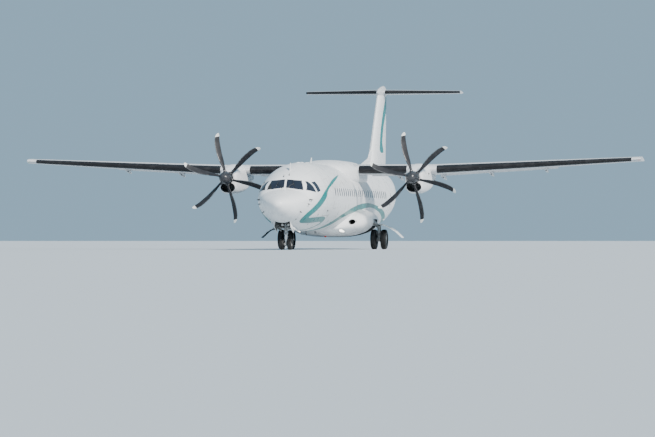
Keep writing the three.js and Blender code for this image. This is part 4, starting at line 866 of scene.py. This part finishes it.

# Wheels: tyres, and rims on their axles

TYRE_SIDE = [(0.0, 0.60), (0.04, 0.74), (0.12, 0.86), (0.28, 0.965), (0.45, 1.0), (0.62, 0.985),
             (0.78, 0.91), (0.89, 0.79), (0.95, 0.68), (0.975, 0.60)]
GROOVES, GROOVE_DEPTH = (-0.42, -0.14, 0.14, 0.42), 0.035
GROOVE = ((-0.04, 0), (-0.03, 1), (0.03, 1), (0.04, 0))  # place across, and share of the depth
RIM = [
    (0.0, 0.36), (0.16, 0.35), (0.21, 0.28), (0.23, 0.12), (0.36, 0.10), (0.42, -0.02), (0.70, -0.10),
    (0.78, 0.16), (0.86, 0.40), (0.93, 0.58), (0.96, 0.62), (0.995, 0.61), (0.997, 0.55), (0.997, -0.55),
    (0.995, -0.61), (0.95, -0.62), (0.90, -0.55), (0.87, -0.40), (0.865, -0.2), (0.80, -0.29), (0.50, -0.29),
    (0.3, -0.24), (0.0, -0.24),
]
# Bolts and holes: ring, inner and outer end as shares, radius, look and sides
STUDS = ((0.33, 0.05, 0.20, 0.035, 2, 6), (0.58, -0.14, -0.045, 0.075, 1, 20))
MAIN_WHEEL = {"radius": 0.432, "half": 0.125, "rim": 0.215, "apart": 0.44, "axle": 0.052}
NOSE_WHEEL = {"radius": 0.225, "half": 0.093, "rim": 0.105, "apart": 0.33, "axle": 0.032}
NOSE_AXLE_Y, NOSE_AXLE_Z = -11.733, 0.225
LEG_X, MAIN_AXLE_Y, MAIN_AXLE_Z = 2.05, -0.963, 0.432


def tyre_outline(wheel):
    depth, half = wheel["radius"] - wheel["rim"], wheel["half"]
    tread = [(0.0, 0)] + [(groove + shift, cut) for groove in GROOVES for shift, cut in GROOVE]
    crown = [(1 - 0.07 * h * h - GROOVE_DEPTH * cut, h) for h, cut in sorted(tread)]
    whole = [(r, -h) for r, h in TYRE_SIDE] + crown + TYRE_SIDE[::-1]
    return [(wheel["rim"] + r * depth, h * half) for r, h in whole]


def wheel_pair(wheel, centre, tyres, rims, body):
    """The two tyres, and the rims on their axle, about the middle of the axle."""
    centre, rim = np.array(centre, float), wheel["rim"]
    axle = Build("wheel", "black", "gear", "chrome")
    for outer, tyre_name in zip((1, -1), tyres):
        spot = centre + (outer * wheel["apart"] / 2, 0, 0)
        out = np.array((outer * wheel["half"], 0, 0))
        tyre = Build("tyre")
        tyre.lathe(tyre_outline(wheel), spot, "x", 0, 128, closed=True)
        tyre.show(tyre_name + "_treaded", body, "tyre_rubber", (tyre_name,), sharp=50)
        axle.lathe([(max(r, 0.004) * rim, outer * h * wheel["half"]) for r, h in RIM], spot, "x", 0, 96)
        for k in range(10):
            turn = math.radians(36 * k)
            around = np.array((0, math.cos(turn), math.sin(turn)))
            for ring, start, end, radius, look, sides in STUDS:
                place = spot + ring * rim * around
                axle.tube([place + start * out, place + end * out], radius * rim, look, sides)
        axle.tube([spot + 0.36 * out, spot + 0.38 * out], 0.09 * rim, 3, 24)
    axle.pin(centre, (wheel["apart"] / 2, 0, 0), wheel["axle"], 2, 32)
    axle.show(rims + "_dished", body, "wheel_metal", (rims,))


wheel_pair(NOSE_WHEEL, (0, NOSE_AXLE_Y, NOSE_AXLE_Z), ("nose_tyre_port", "nose_tyre_starboard"),
           "nose_wheel_rims", "nose_wheels")
for label, side in SIDES:
    tyres = [f"main_tyre_{label}_{place}" for place in ("outer", "inner")[::side]]
    wheel_pair(MAIN_WHEEL, (LEG_X * side, MAIN_AXLE_Y, MAIN_AXLE_Z), tyres, f"main_wheel_rims_{label}",
               f"main_wheels_{label}")

# Pods under the belly: air inlets lined near-black inside as a painted shade, and landing lamps

INLET = {"x": 1.330, "z": 1.180, "radius": 0.125, "end": 10.59}
LANDING_LAMP = {"x": 0.934, "z": 0.790, "radii": (0.083, 0.078, 0.050)}

for label, side in SIDES:
    fit = Build("fairing_white", "black", "lamp", "gear")
    mouth = front_ring(belly, (side * INLET["x"], INLET["z"]), (INLET["radius"],) * 3, 48, 2.0)
    lip(fit, mouth + (0, 0.006, 0), 0.014)
    centre = np.array((side * INLET["x"], 0, INLET["z"]))
    inner = centre + (mouth - centre) * (0.94, 1, 0.94)
    deep = inner.copy()
    deep[:, 1] = INLET["end"] + NOSE_Y
    # The inlet's duct is near-black all the way in: a painted shade inside the hole.
    fit.grid([inner + (0, 0.006, 0), deep], 1, away_from=centre - (0, 500, 0))
    x, z = side * LANDING_LAMP["x"], LANDING_LAMP["z"]
    rows = []
    for share in (0.02, 0.35, 0.7, 1.0):
        ring = front_ring(belly, (x, z), share * np.array(LANDING_LAMP["radii"]), 40, 1.4)
        rows.append(ring + 0.004 * belly.normals(ring))
    fit.grid(rows, 2, away_from=(x, 14.7 + NOSE_Y, z + 3))
    lip(fit, rows[-1], 0.007, 3)
    fit.show(f"pod_fittings_{label}", slot="lamp_glass")

# Landing gear fittings

BRAKE_DISC, DISC_PITCH = ((0.176, 0.104), (0.176, 0.114), (0.165, 0.115), (0.165, 0.118)), 0.015
STRUT_TOP, STRUT_LOW = (0.9, 0.17, 1.33), (1.985, 0.17, 1.0)
STRUT_RINGS = ((0.56, 0.93, 0.0428, 1), (0.525, 0.56, 0.074, 0), (0.2, 0.225, 0.072, 0))


def gear_point(side, x, aft, z):
    return np.array((side * x, MAIN_AXLE_Y + aft, z))


for label, side in SIDES:
    fit = Build("gear", "chrome", "black", "bay")
    for way in (-1, 1):
        spot = gear_point(side, LEG_X, 0, MAIN_AXLE_Z)
        discs = [(r, h + DISC_PITCH * k) for k in range(5) for r, h in BRAKE_DISC]
        stack = [(0.06, 0.089), (0.14, 0.089), (0.14, 0.099)] + discs + [(0.06, 0.18)]
        fit.lathe([(r, way * h) for r, h in stack], spot, "x", 3, 64)
        for k in range(6):
            turn = math.radians(60 * k + 30)
            cup = spot + (way * 0.075, 0.115 * math.cos(turn), 0.115 * math.sin(turn))
            fit.tube([cup, cup + (way * 0.016, 0, 0)], 0.024, 0, 16)
    top, low = gear_point(side, *STRUT_TOP), gear_point(side, *STRUT_LOW)
    for start, end, radius, look in STRUT_RINGS:
        fit.tube([top + start * (low - top), top + end * (low - top)], radius, look, 32)
    for shift, drop, way in ((0.10, 0.0, -1), (0.125, 0.02, 1)):
        pipe = [(1.72, shift, 1.19), (1.86, shift + 0.02, 1.05 - drop), (2.03, shift + 0.03, 0.9 - drop),
                (2.05, shift + 0.01, 0.7), (2.05 + way * 0.04, shift, 0.55), (2.05 + way * 0.075, 0.09, 0.5)]
        fit.tube([gear_point(side, *place) for place in pipe], 0.0085, 2, 10, curved=True)
    for place, half, radius, sides in (
            ((LEG_X, 0, 0.62), (0, 0, 0.018), 0.087, 32), ((LEG_X, 0, 0.8), (0, 0, 0.018), 0.087, 32),
            ((LEG_X, -0.11, 0.97), (0, 0.02, 0), 0.045, 20), ((LEG_X, 0.11, 0.97), (0, 0.02, 0), 0.045, 20),
            ((1.7, -0.28, 1.255), (0, 0.02, 0), 0.093, 32), ((1.7, 0.22, 1.255), (0, 0.02, 0), 0.093, 32)):
        fit.pin(gear_point(side, *place), half, radius, 0, sides)
    fit.show(f"main_gear_fittings_{label}")


def nose_point(x, aft, z):
    return np.array((x, NOSE_AXLE_Y + aft, z))


LAMP_CUP = [(0.012, 0.05), (0.04, 0.035), (0.058, -0.01), (0.058, -0.03), (0.051, -0.031), (0.05, -0.02),
            (0.004, -0.02)]
FORK_COLLAR = [(0.056, 0.626), (0.079, 0.632), (0.082, 0.64), (0.082, 0.71), (0.079, 0.718), (0.056, 0.724)]
fit = Build("gear", "chrome", "black", "lamp_lens")
for low, high, radius in ((0.775, 0.815, 0.09), (1.02, 1.05, 0.086), (1.3, 1.34, 0.09)):
    fit.tube([nose_point(0, 0, low), nose_point(0, 0, high)], radius, 0, 32)
for side in (1, -1):
    jack = [nose_point(side * x, aft, 0.90) for x, aft in ((0.045, -0.085), (0.2, -0.06), (0.25, -0.05))]
    fit.tube(jack[:2], 0.03, 0, 20)
    fit.tube(jack[1:], 0.014, 1, 16)
    pipe = ((0.07, 0.06, 1.32), (0.1, 0.09, 1.1), (0.085, 0.07, 0.93), (0.05, 0.07, 0.80))
    fit.tube([nose_point(side * x, aft, z) for x, aft, z in pipe], 0.007, 2, 10, curved=True)
    lamp_spot = nose_point(side * 0.125, -0.11, 1.02)
    fit.lathe(LAMP_CUP, lamp_spot, "y", 0, 40)
    fit.lathe([(0.0495, -0.0215), (0.035, -0.027), (0.004, -0.0295)], lamp_spot, "y", 3, 40)
    fit.tube([nose_point(side * 0.02, -0.06, 1.02), lamp_spot], 0.016, 0, 12)
fit.show("nose_gear_fittings")

fit = Build("chrome", "gear", "black")
for low, high, radius, look, sides in ((0.3, 0.628, 0.0527, 0, 40), (0.722, 0.752, 0.0527, 0, 40),
                                       (0.285, 0.31, 0.066, 1, 32)):
    fit.tube([nose_point(0, 0, low), nose_point(0, 0, high)], radius, look, sides)
fit.lathe(FORK_COLLAR, nose_point(0, 0, 0), "z", 1, 48)
for aft, z in ((0.04, 0.68), (0.17, 0.545), (0.03, 0.295)):
    fit.pin(nose_point(0, aft, z), (0.045, 0, 0), 0.026, 1)
    fit.pin(nose_point(0, aft, z), (0.052, 0, 0), 0.012, 2, 6)
fit.show("nose_fork_fittings", "nose_steering_fork")

# Windows, and the lines of doors and hatches

WINDOW_PITCH, WINDOW_COUNT, FIRST_WINDOW, WINDOW_HEIGHT = 0.508, 25, 5.92, 2.42
PANE_HALF, DOOR_PANE_HALF, PANE_OUT = (0.122, 0.172), (0.09, 0.13), 0.0024
PANE_RINGS, PANE_POWER, PANE_STEPS = (0.02, 0.5, 0.9, 1.0), 3.4, 28
FRAME_RINGS = ((-0.004, 0.0024), (0.0, 0.0055), (0.016, 0.0055), (0.021, 0.0005))  # growth, and way out
SEAM_OUT, SEAM_POWER, SEAM_STEPS, HATCH_SEAM = 0.0022, 9, 120, 0.006
EXIT_PANE_S, SERVICE_PANE_S, DOOR_S = 5.39, 19.55, 19.54
HANDLE_SPOT, HANDLE_SIZE = (19.3, 2.0), (0.012, 0.16, 0.05)
EXIT = ((5.12, 5.66), (1.72, 2.74))
SERVICE_DOOR = ((19.2, 19.9), (1.36, 2.84))
HATCHES = [((2.42, 2.86), (1.30, 1.62)), ((6.5, 6.9), (1.15, 1.38)), ((21.2, 21.6), (2.1, 2.4))]


def window(build, side, s, z=WINDOW_HEIGHT, half=PANE_HALF):
    """A dark pane in a slightly raised frame that follows the fuselage."""
    inner = rounded_box(*half, PANE_POWER, PANE_STEPS)
    centre = (0, s + NOSE_Y, HULL_MIDDLE)
    rows = [hull.at_height(s + share * inner[:, 0], z + share * inner[:, 1], side, PANE_OUT)
            for share in PANE_RINGS]
    build.grid(rows, 0, away_from=centre)
    middle = rows[0][::2].mean(axis=0)
    build.grid([rows[0][::2], middle + 1e-4 * (rows[0][::2] - middle)], 0, away_from=centre)
    rows = []
    for grow, out in FRAME_RINGS:
        ring = inner * (1 + grow / np.array(half))
        rows.append(hull.at_height(s + ring[:, 0], z + ring[:, 1], side, out))
    build.grid(rows, 1, away_from=centre)


def seam(build, side, stations, heights, width=0.007):
    """The dark line round a door or hatch."""
    (s, half_s), (z, half_z) = (((a + b) / 2, (b - a) / 2) for a, b in (stations, heights))
    rows = []
    for grow in (-width / 2, width / 2):
        ring = rounded_box(half_s + grow, half_z + grow, SEAM_POWER, SEAM_STEPS)
        rows.append(hull.at_height(s + ring[:, 0], z + ring[:, 1], side, SEAM_OUT))
    build.grid(rows, 2, away_from=(0, s + NOSE_Y, HULL_MIDDLE))


for label, side in SIDES:
    panes = Build("glass", "hull_white", "black")
    for k in range(WINDOW_COUNT):
        window(panes, side, FIRST_WINDOW + WINDOW_PITCH * k)
    window(panes, side, EXIT_PANE_S)
    for hatch in HATCHES:
        seam(panes, side, *hatch, width=HATCH_SEAM)
    seam(panes, side, *EXIT)
    if side < 0:
        seam(panes, side, *SERVICE_DOOR)
        window(panes, side, SERVICE_PANE_S, half=DOOR_PANE_HALF)
        panes.block(hull.at_height(*HANDLE_SPOT, side, 0.004), HANDLE_SIZE, 2)
    panes.show(f"cabin_windows_{label}", slot="cockpit_glass")
door_window = Build("glass", "hull_white", "black")
window(door_window, 1, DOOR_S, half=DOOR_PANE_HALF)
door_window.block(hull.at_height(*HANDLE_SPOT, 1, 0.004), HANDLE_SIZE, 2)
door_window.show("passenger_door_window", "passenger_door_body", "cockpit_glass")
handle = Build("black", "gear")
handle.block(hull.at_height(4.2, 1.62, 1, 0.004), (0.02, 0.2, 0.06), 0)
handle.block(hull.at_height(4.2, 1.62, 1, 0.010), (0.012, 0.14, 0.02), 1)
handle.show("cargo_door_handle", "cargo_door_body")

# Steps and rails inside the passenger door, which is the stair when it is down

STEP_COUNT, FIRST_STEP, STEP_RISE = 5, 1.52, 0.27
RAIL = ((1.5, 0.1), (1.75, 0.3), (2.3, 0.33), (2.75, 0.22), (2.85, 0.11))  # height, and depth in the skin
stair = Build("gear", "chrome", "black")
for k in range(STEP_COUNT):
    z = FIRST_STEP + STEP_RISE * k
    skin_x = hull.at_height(DOOR_S, z, 1)[0]
    stair.block((skin_x - 0.19, DOOR_S + NOSE_Y, z), (0.19, 0.52, 0.03), 0)
    stair.block((skin_x - 0.28, DOOR_S + NOSE_Y, z + 0.004), (0.02, 0.5, 0.03), 2)
for s in (19.25, 19.83):
    rail = [(hull.at_height(s, z, 1)[0] - inset, s + NOSE_Y, z) for z, inset in RAIL]
    stair.tube(rail, 0.013, 1, 12, curved=True)
stair.show("passenger_door_stair", "passenger_door_body")

# Cabin behind the passenger door: ceiling lights, bins and floor strips

CABIN_ENDS, CABIN_TOP, CABIN_BASE = (15.0, 20.25), 3.18, 1.33
room = Build("lamp", "cabin", "gear")
middle_y, length = sum(CABIN_ENDS) / 2 + NOSE_Y, CABIN_ENDS[1] - CABIN_ENDS[0]
for side in (1, -1):
    room.block((side * 0.3, middle_y, CABIN_TOP - 0.012), (0.09, length - 0.4, 0.03), 0)
    room.block((side * 0.22, middle_y, CABIN_BASE + 0.004), (0.03, length - 0.4, 0.012), 2)
    room.block((side * 0.86, 16.7 + NOSE_Y, 2.86), (0.42, 3.2, 0.26), 1, 0.3)
room.show("cabin_furnishing")

# Windscreen wipers


def hull_top(s, x, out=0.0):
    """A point of the upper fuselage at a station and a distance from the centre line."""
    half, top, middle, _ = (float(v[0]) for v in hull.smooth_row(np.array([s])))
    co = np.array([[x, s + NOSE_Y, middle + (top - middle) * math.sqrt(max(1 - (x / half) ** 2, 0))]])
    return (co + out * hull.normals(co))[0]


ARM, WIPER_BLADE = (((1.545, 0.10, 0.03), (1.66, 0.22, 0.03), (1.74, 0.34, 0.022)),
                    ((1.62, 0.42, 0.012), (1.74, 0.34, 0.014), (1.88, 0.25, 0.012)))
wipers = Build("black", "gear")
for side in (1, -1):
    wipers.tube([hull_top(1.545, side * 0.10), hull_top(1.545, side * 0.10, 0.035)], [0.022, 0.016], 1, 16)
    wipers.tube([hull_top(s, side * x, out) for s, x, out in ARM], 0.007, 0, 8, curved=True)
    wipers.tube([hull_top(s, side * x, out) for s, x, out in WIPER_BLADE], 0.006, 0, 8)
wipers.show("windscreen_wipers")

# Probes, vents, tail cap, aerials, skid and beacons

PROBES = [(1.03, 1.54, 2.05), (1.08, 1.66, 2.04), (0.99, 1.44, 1.87), (0.74, 1.01, 1.56)]
VENTS = [(0.54, 1.17, 1.25), (0.73, 2.77, 1.06), (1.2, 2.9, 1.4)]
UP, DOWN = (0, 0, 1), (0, 0, -1)
TOP_AERIALS = [(2.72, 0.30, (0.26, 0.13), 0.12), (7.4, 0.26, (0.34, 0.2), 0.12),
               (17.0, 0.24, (0.3, 0.18), 0.1)]
BELLY_AERIALS = [(6.82, -0.09, 0.20, (0.2, 0.13), 0.06), (7.25, 0.16, 0.12, (0.1, 0.07), 0.05),
                 (8.55, 0.0, 0.1, (0.22, 0.14), 0.05), (17.1, 0.0, 0.24, (0.28, 0.16), 0.1),
                 (18.4, 0.25, 0.12, (0.1, 0.07), 0.05)]
HUMPS = ((4.4, 0.2, 0.03), (5.2, 0.2, 0.03), (15.6, 0.9, 0.05), (6.2, 0.5, 0.04))  # station, length, height
BEACON = [(0.055, 0.0), (0.055, 0.02), (0.048, 0.055), (0.03, 0.08), (0.004, 0.088)]


def on_hull(x, s, z):
    """A point moved onto the fuselage, and the way outward there."""
    place = hull.onto(np.array([[x, s + NOSE_Y, z]]))
    return place[0], hull.normals(place)[0]


fit = Build("black", "hull_white", "red_lamp", "hull_teal", "lamp_lens")
for side in (1, -1):
    for x, s, z in PROBES:
        place, out = on_hull(side * x, s, z)
        elbow = place + 0.075 * out
        fit.tube([place - 0.01 * out, elbow], [0.026, 0.014], 0, 12)
        fit.tube([elbow + (0, aft, 0) for aft in (0.03, -0.06, -0.11)], [0.013, 0.012, 0.008], 0, 14)
    for x, s, z in VENTS:
        place, out = on_hull(side * x, s, z)
        fit.tube([place - 0.01 * out, place + 0.004 * out], 0.035, 0, 20)
cap_half, cap_top, cap_middle, cap_low = (v / 1000 for v in FUSELAGE[-1][1:])
rows = []
for turn in np.linspace(0, 0.49 * math.pi, 8):
    ring = []
    for a in circle(40):
        tall = cap_top - cap_middle if math.sin(a) > 0 else cap_middle - cap_low
        ring.append((cap_half * math.cos(turn) * math.cos(a), 26.72 + NOSE_Y + 0.07 * math.sin(turn),
                     cap_middle + tall * math.cos(turn) * math.sin(a)))
    rows.append(ring)
fit.grid(rows, 3, away_from=(0, 26.0 + NOSE_Y, cap_middle))
fit.lathe([(0.045, 0.0), (0.045, 0.025), (0.03, 0.05), (0.004, 0.058)], (0, 26.78 + NOSE_Y, 2.95), "y", 4, 24)
for s, height, chords, sweep in TOP_AERIALS:
    fit.vane(hull_top(s, 0), UP, height, chords, sweep, 0.03, 1)
for s, x, height, chords, sweep in BELLY_AERIALS:
    fit.vane(on_hull(x, s, 1.0)[0], DOWN, height, chords, sweep, 0.024, 0)
for s, x in ((2.04, -0.13), (2.14, 0.08)):
    fit.vane(hull_top(s, x), UP, 0.09, (0.06, 0.04), 0.03, 0.025, 0)
for s, length, height in HUMPS:
    rows = []
    for share in np.linspace(0.02, 0.98, 14):
        swell = math.sqrt(1 - (2 * share - 1) ** 2)
        middle = hull_top(s + length * share, 0, -0.012)
        rows.append([middle + (0.09 * swell * math.cos(a), 0, (height + 0.012) * swell * math.sin(a))
                     for a in circle(20)])
    fit.grid(rows, 1, caps=True)
fit.vane(on_hull(0, 21.5, 0.9)[0], (0, 0.25, -1), 0.17, (0.42, 0.24), 0.05, 0.05, 0)
fit.lathe([(r, -h) for r, h in BEACON], (0, 10.8 + NOSE_Y, 0.606), "z", 2, 32)
fit.lathe(BEACON, hull_top(17.8, 0, -0.01), "z", 2, 32)
fit.show("probes_and_aerials")

# Wing tip lights and static wicks. The outer wing's plan: root and tip x, chords, leading edge and height.

ROOT_X, TIP_X, ROOT_CHORD, TIP_CHORD = 4.56, 13.525, 2.57, 1.59
LEAD_S, LEAD_SWEEP, ROOT_Z, TIP_RISE, WING_SET = 11.35, 0.46, 3.44, 0.43, math.radians(2)


def wing_edge(x, share):
    """A point of the wing's chord line, as a share of the chord from its leading edge."""
    out = max(0.0, (x - ROOT_X) / (TIP_X - ROOT_X))
    back = share * (ROOT_CHORD + (TIP_CHORD - ROOT_CHORD) * out)
    return np.array((x, NOSE_Y + LEAD_S + LEAD_SWEEP * out + back * math.cos(WING_SET),
                     ROOT_Z + TIP_RISE * out - back * math.sin(WING_SET)))


def show_wicks(name, body, roots, length, drop):
    """Thin rods that point aft, from roots on a trailing edge."""
    wicks = Build("black")
    for root in np.array(roots):
        wicks.tube([root - (0, 0.02, 0), root + (0, 0.04, 0), root + (0, length, -drop)],
                   [0.006, 0.005, 0.003], 0, 8)
    wicks.show(name, body)


for label, side in SIDES:
    tip = Build("red_lamp" if side > 0 else "green_lamp")
    rows = []
    for share in np.linspace(0.005, 0.075, 8):
        x, y, z = wing_edge(13.40, share)
        swell = math.sqrt(max(1 - ((share - 0.04) / 0.036) ** 2, 0.02))
        rows.append([(side * (x + 0.118 * abs(math.cos(a)) ** 0.5 * np.sign(math.cos(a)) * swell), y,
                      z + 0.046 * swell * math.sin(a)) for a in circle(20)])
    tip.grid(rows, 0, caps=True)
    tip.show(f"tip_light_{label}", slot="lamp_glass")
    roots = [wing_edge(x, 0.995) * (side, 1, 1) for x in (10.4, 11.2, 12.0, 12.8)]
    show_wicks(f"aileron_wicks_{label}", f"aileron_{label}_body", roots, 0.15, 0.02)
    roots = [(side * x, TAIL_LEAD + TAIL_CHORD + (TAIL_SWEEP - TAIL_TAPER) * x / TAIL_HALF + NOSE_Y - 0.005,
              TAIL_Z) for x in (3.05, 3.45)]
    show_wicks(f"elevator_wicks_{label}", f"elevator_{label}_body", roots, 0.13, 0.0)
roots = [(0, 26.48 + 0.35 * (z - 3.2) / 3.95 + NOSE_Y - 0.01, z) for z in (4.6, 5.5, 6.4)]
show_wicks("rudder_wicks", "rudder_body", roots, 0.13, 0.0)

# Nacelle fittings: the intake's lip, the jet pipe's rim with a black plug inside, and scoops with black
# mouths; the plug and the mouths are painted shade in the openings

INTAKE = {"middle": 2.670, "radii": (0.300, 0.205, 0.205)}
PIPE_START, PIPE_END = (0.040, 11.150, 2.990), (0.330, 12.700, 2.930)
PIPE_RIM = ((0.1405, -0.16), (0.1435, -0.06), (0.145, -0.012), (0.1425, 0.004), (0.134, 0.004),
            (0.131, -0.02), (0.13, -0.3))

for label, side in SIDES:
    skin = nacelles[label]
    fit = Build("boot", "exhaust", "black", "fairing_white")
    lip(fit, front_ring(skin, (skin.x, INTAKE["middle"]), INTAKE["radii"], 64) + (0, 0.004, 0), 0.022)
    start, end = (np.array((skin.x + side * x, s + NOSE_Y, z)) for x, s, z in (PIPE_START, PIPE_END))
    along = (end - start) / np.linalg.norm(end - start)
    across = np.cross(along, (0, 0, 1))
    across /= np.linalg.norm(across)
    cos, sin = np.cos(circle(48)), np.sin(circle(48))
    ring = np.outer(cos, across) + np.outer(sin, np.cross(across, along))
    rows = [end + back * along + radius * ring for radius, back in PIPE_RIM]
    fit.grid(rows, 1, away_from=end - 3 * along)
    # A black plug inside the jet pipe: a painted shade in the pipe.
    fit.tube([end - 0.33 * along, end - 0.29 * along], 0.128, 2, 40)
    for s, z, size in ((10.9, 3.25, 0.09), (11.6, 3.3, 0.07)):
        spot = skin.at_height(s, z, side)
        fit.tube([spot + (0, -0.1, 0), spot, spot + (0, 0.22, 0)], [size * 0.55, size * 0.5, 0.01], 3, 20)
        # A black disc in the scoop's mouth: a painted shade in the opening.
        fit.tube([spot + (0, -0.101, 0), spot + (0, -0.09, 0)], size * 0.45, 2, 20)
    fit.show(f"nacelle_fittings_{label}", slot="engine_metal")

# Gear doors, painted outside and dark inside


def lined_door(node, inner_way):
    """A copy of a door whose faces that look along `inner_way` are its dark lining."""
    bm = welded(node)
    for face in bm.faces:
        face.material_index = 1 if face.normal.dot(Vector(inner_way)) > LOOKS_IN else 0
    mesh = to_mesh(bm, node + "_lined", SHARP_ANGLE)
    show(node + "_lined", mesh, ("door_white", "lining"), BODY_OF[node], (node,))


for label, side in SIDES:
    lined_door(f"main_gear_door_{label}", (-0.55 * side, 0, -0.83))
    lined_door(f"nose_gear_door_{label}", (-side, 0, 0))
    lined_door(f"nose_gear_aft_door_{label}", (-side, 0, 0))

# Solids that keep their shape, each with the first look whose key is in its name

KEPT = [
    ("landing_light", "lamp_lens"), ("deice_boot", "boot"), ("engine", "exhaust"),
    ("gear_door", "door_white"), ("gear_aft_door", "door_white"), ("gear_", "gear"),
    ("tyre", "tyre"), ("wheel_rims", "wheel"), ("tailplane", "wing_white"), ("elevator", "wing_white"),
    ("wing_", "wing_white"), ("flap", "wing_white"), ("aileron", "wing_white"), ("propeller", "blade"),
    ("spinner", "spinner"), ("windscreen", "glass"), ("side_window", "glass"), ("", "hull_white"),
]
for name, node in NODES.items():
    mesh = node.data
    mesh.materials.clear()
    mesh.materials.append(looks[next(value for key, value in KEPT if key in name)])
    if "custom_normal" in mesh.attributes:
        mesh.attributes.remove(mesh.attributes["custom_normal"])
    mesh.polygons.foreach_set("use_smooth", [True] * len(mesh.polygons))
    mesh.polygons.foreach_set("material_index", [0] * len(mesh.polygons))
    node.modifiers.new("weld", "WELD").merge_threshold = WELD_DISTANCE
    node.modifiers.new("edges", "EDGE_SPLIT").split_angle = SHARP_ANGLE

# Stage, lights and camera

FLOOR_RADIUS, FLOOR_SIDES = 1600.0, 48
floor = bpy.data.meshes.new("studio_floor")
corners = [(FLOOR_RADIUS * math.cos(a), FLOOR_RADIUS * math.sin(a), 0.0) for a in circle(FLOOR_SIDES)]
floor.from_pydata(corners, [], [tuple(range(FLOOR_SIDES))])
floor.materials.append(backdrop("studio_paint", (0.52, 0.57, 0.61)))


def place_in_scene(name, data):
    made = bpy.data.objects.new(name, data)
    bpy.context.scene.collection.objects.link(made)
    return made


place_in_scene("studio_floor", floor)


def sun(name, direction, energy, angle, colour):
    light = bpy.data.lights.new(name, "SUN")
    light.energy, light.angle, light.color = energy, math.radians(angle), colour
    place_in_scene(name, light).rotation_euler = Vector(direction).to_track_quat("-Z", "Y").to_euler()


sun("key", (-0.62, 0.62, -0.6), 6.8, 9, (1.0, 0.95, 0.89))
sun("fill", (0.8, 0.9, -0.35), 0.25, 40, (0.9, 0.95, 1.0))
world = bpy.data.worlds.new("studio")
world.use_nodes = True
bpy.context.scene.world = world
sky = next(n for n in world.node_tree.nodes if n.type == "BACKGROUND")
sky.inputs["Color"].default_value = (0.42, 0.66, 0.86, 1)
sky.inputs["Strength"].default_value = 0.72

AZIMUTH, DISTANCE, PIXELS_PER_METRE, SENSOR, IMAGE_WIDTH = math.radians(10.3), 165.0, 23.4, 36, 655
PROPELLER_CENTRE, CAMERA_HEIGHT, TO_THE_RIGHT = Vector((0, PROPELLER_Y, PROPELLER_Z)), 0.4, 0.36
forward = Vector((-math.sin(AZIMUTH), math.cos(AZIMUTH), 0))
right = Vector((math.cos(AZIMUTH), math.sin(AZIMUTH), 0))
camera_data = bpy.data.cameras.new("camera")
camera_data.sensor_width = SENSOR
camera_data.lens = PIXELS_PER_METRE * DISTANCE * SENSOR / IMAGE_WIDTH
camera_data.shift_y = 0.033
camera_data.clip_start, camera_data.clip_end = 1.0, 2000.0
camera = place_in_scene("camera", camera_data)
camera.location = PROPELLER_CENTRE + TO_THE_RIGHT * right - DISTANCE * forward
camera.location.z = CAMERA_HEIGHT
camera.rotation_euler = (math.radians(90), 0, AZIMUTH)
bpy.context.scene.camera = camera
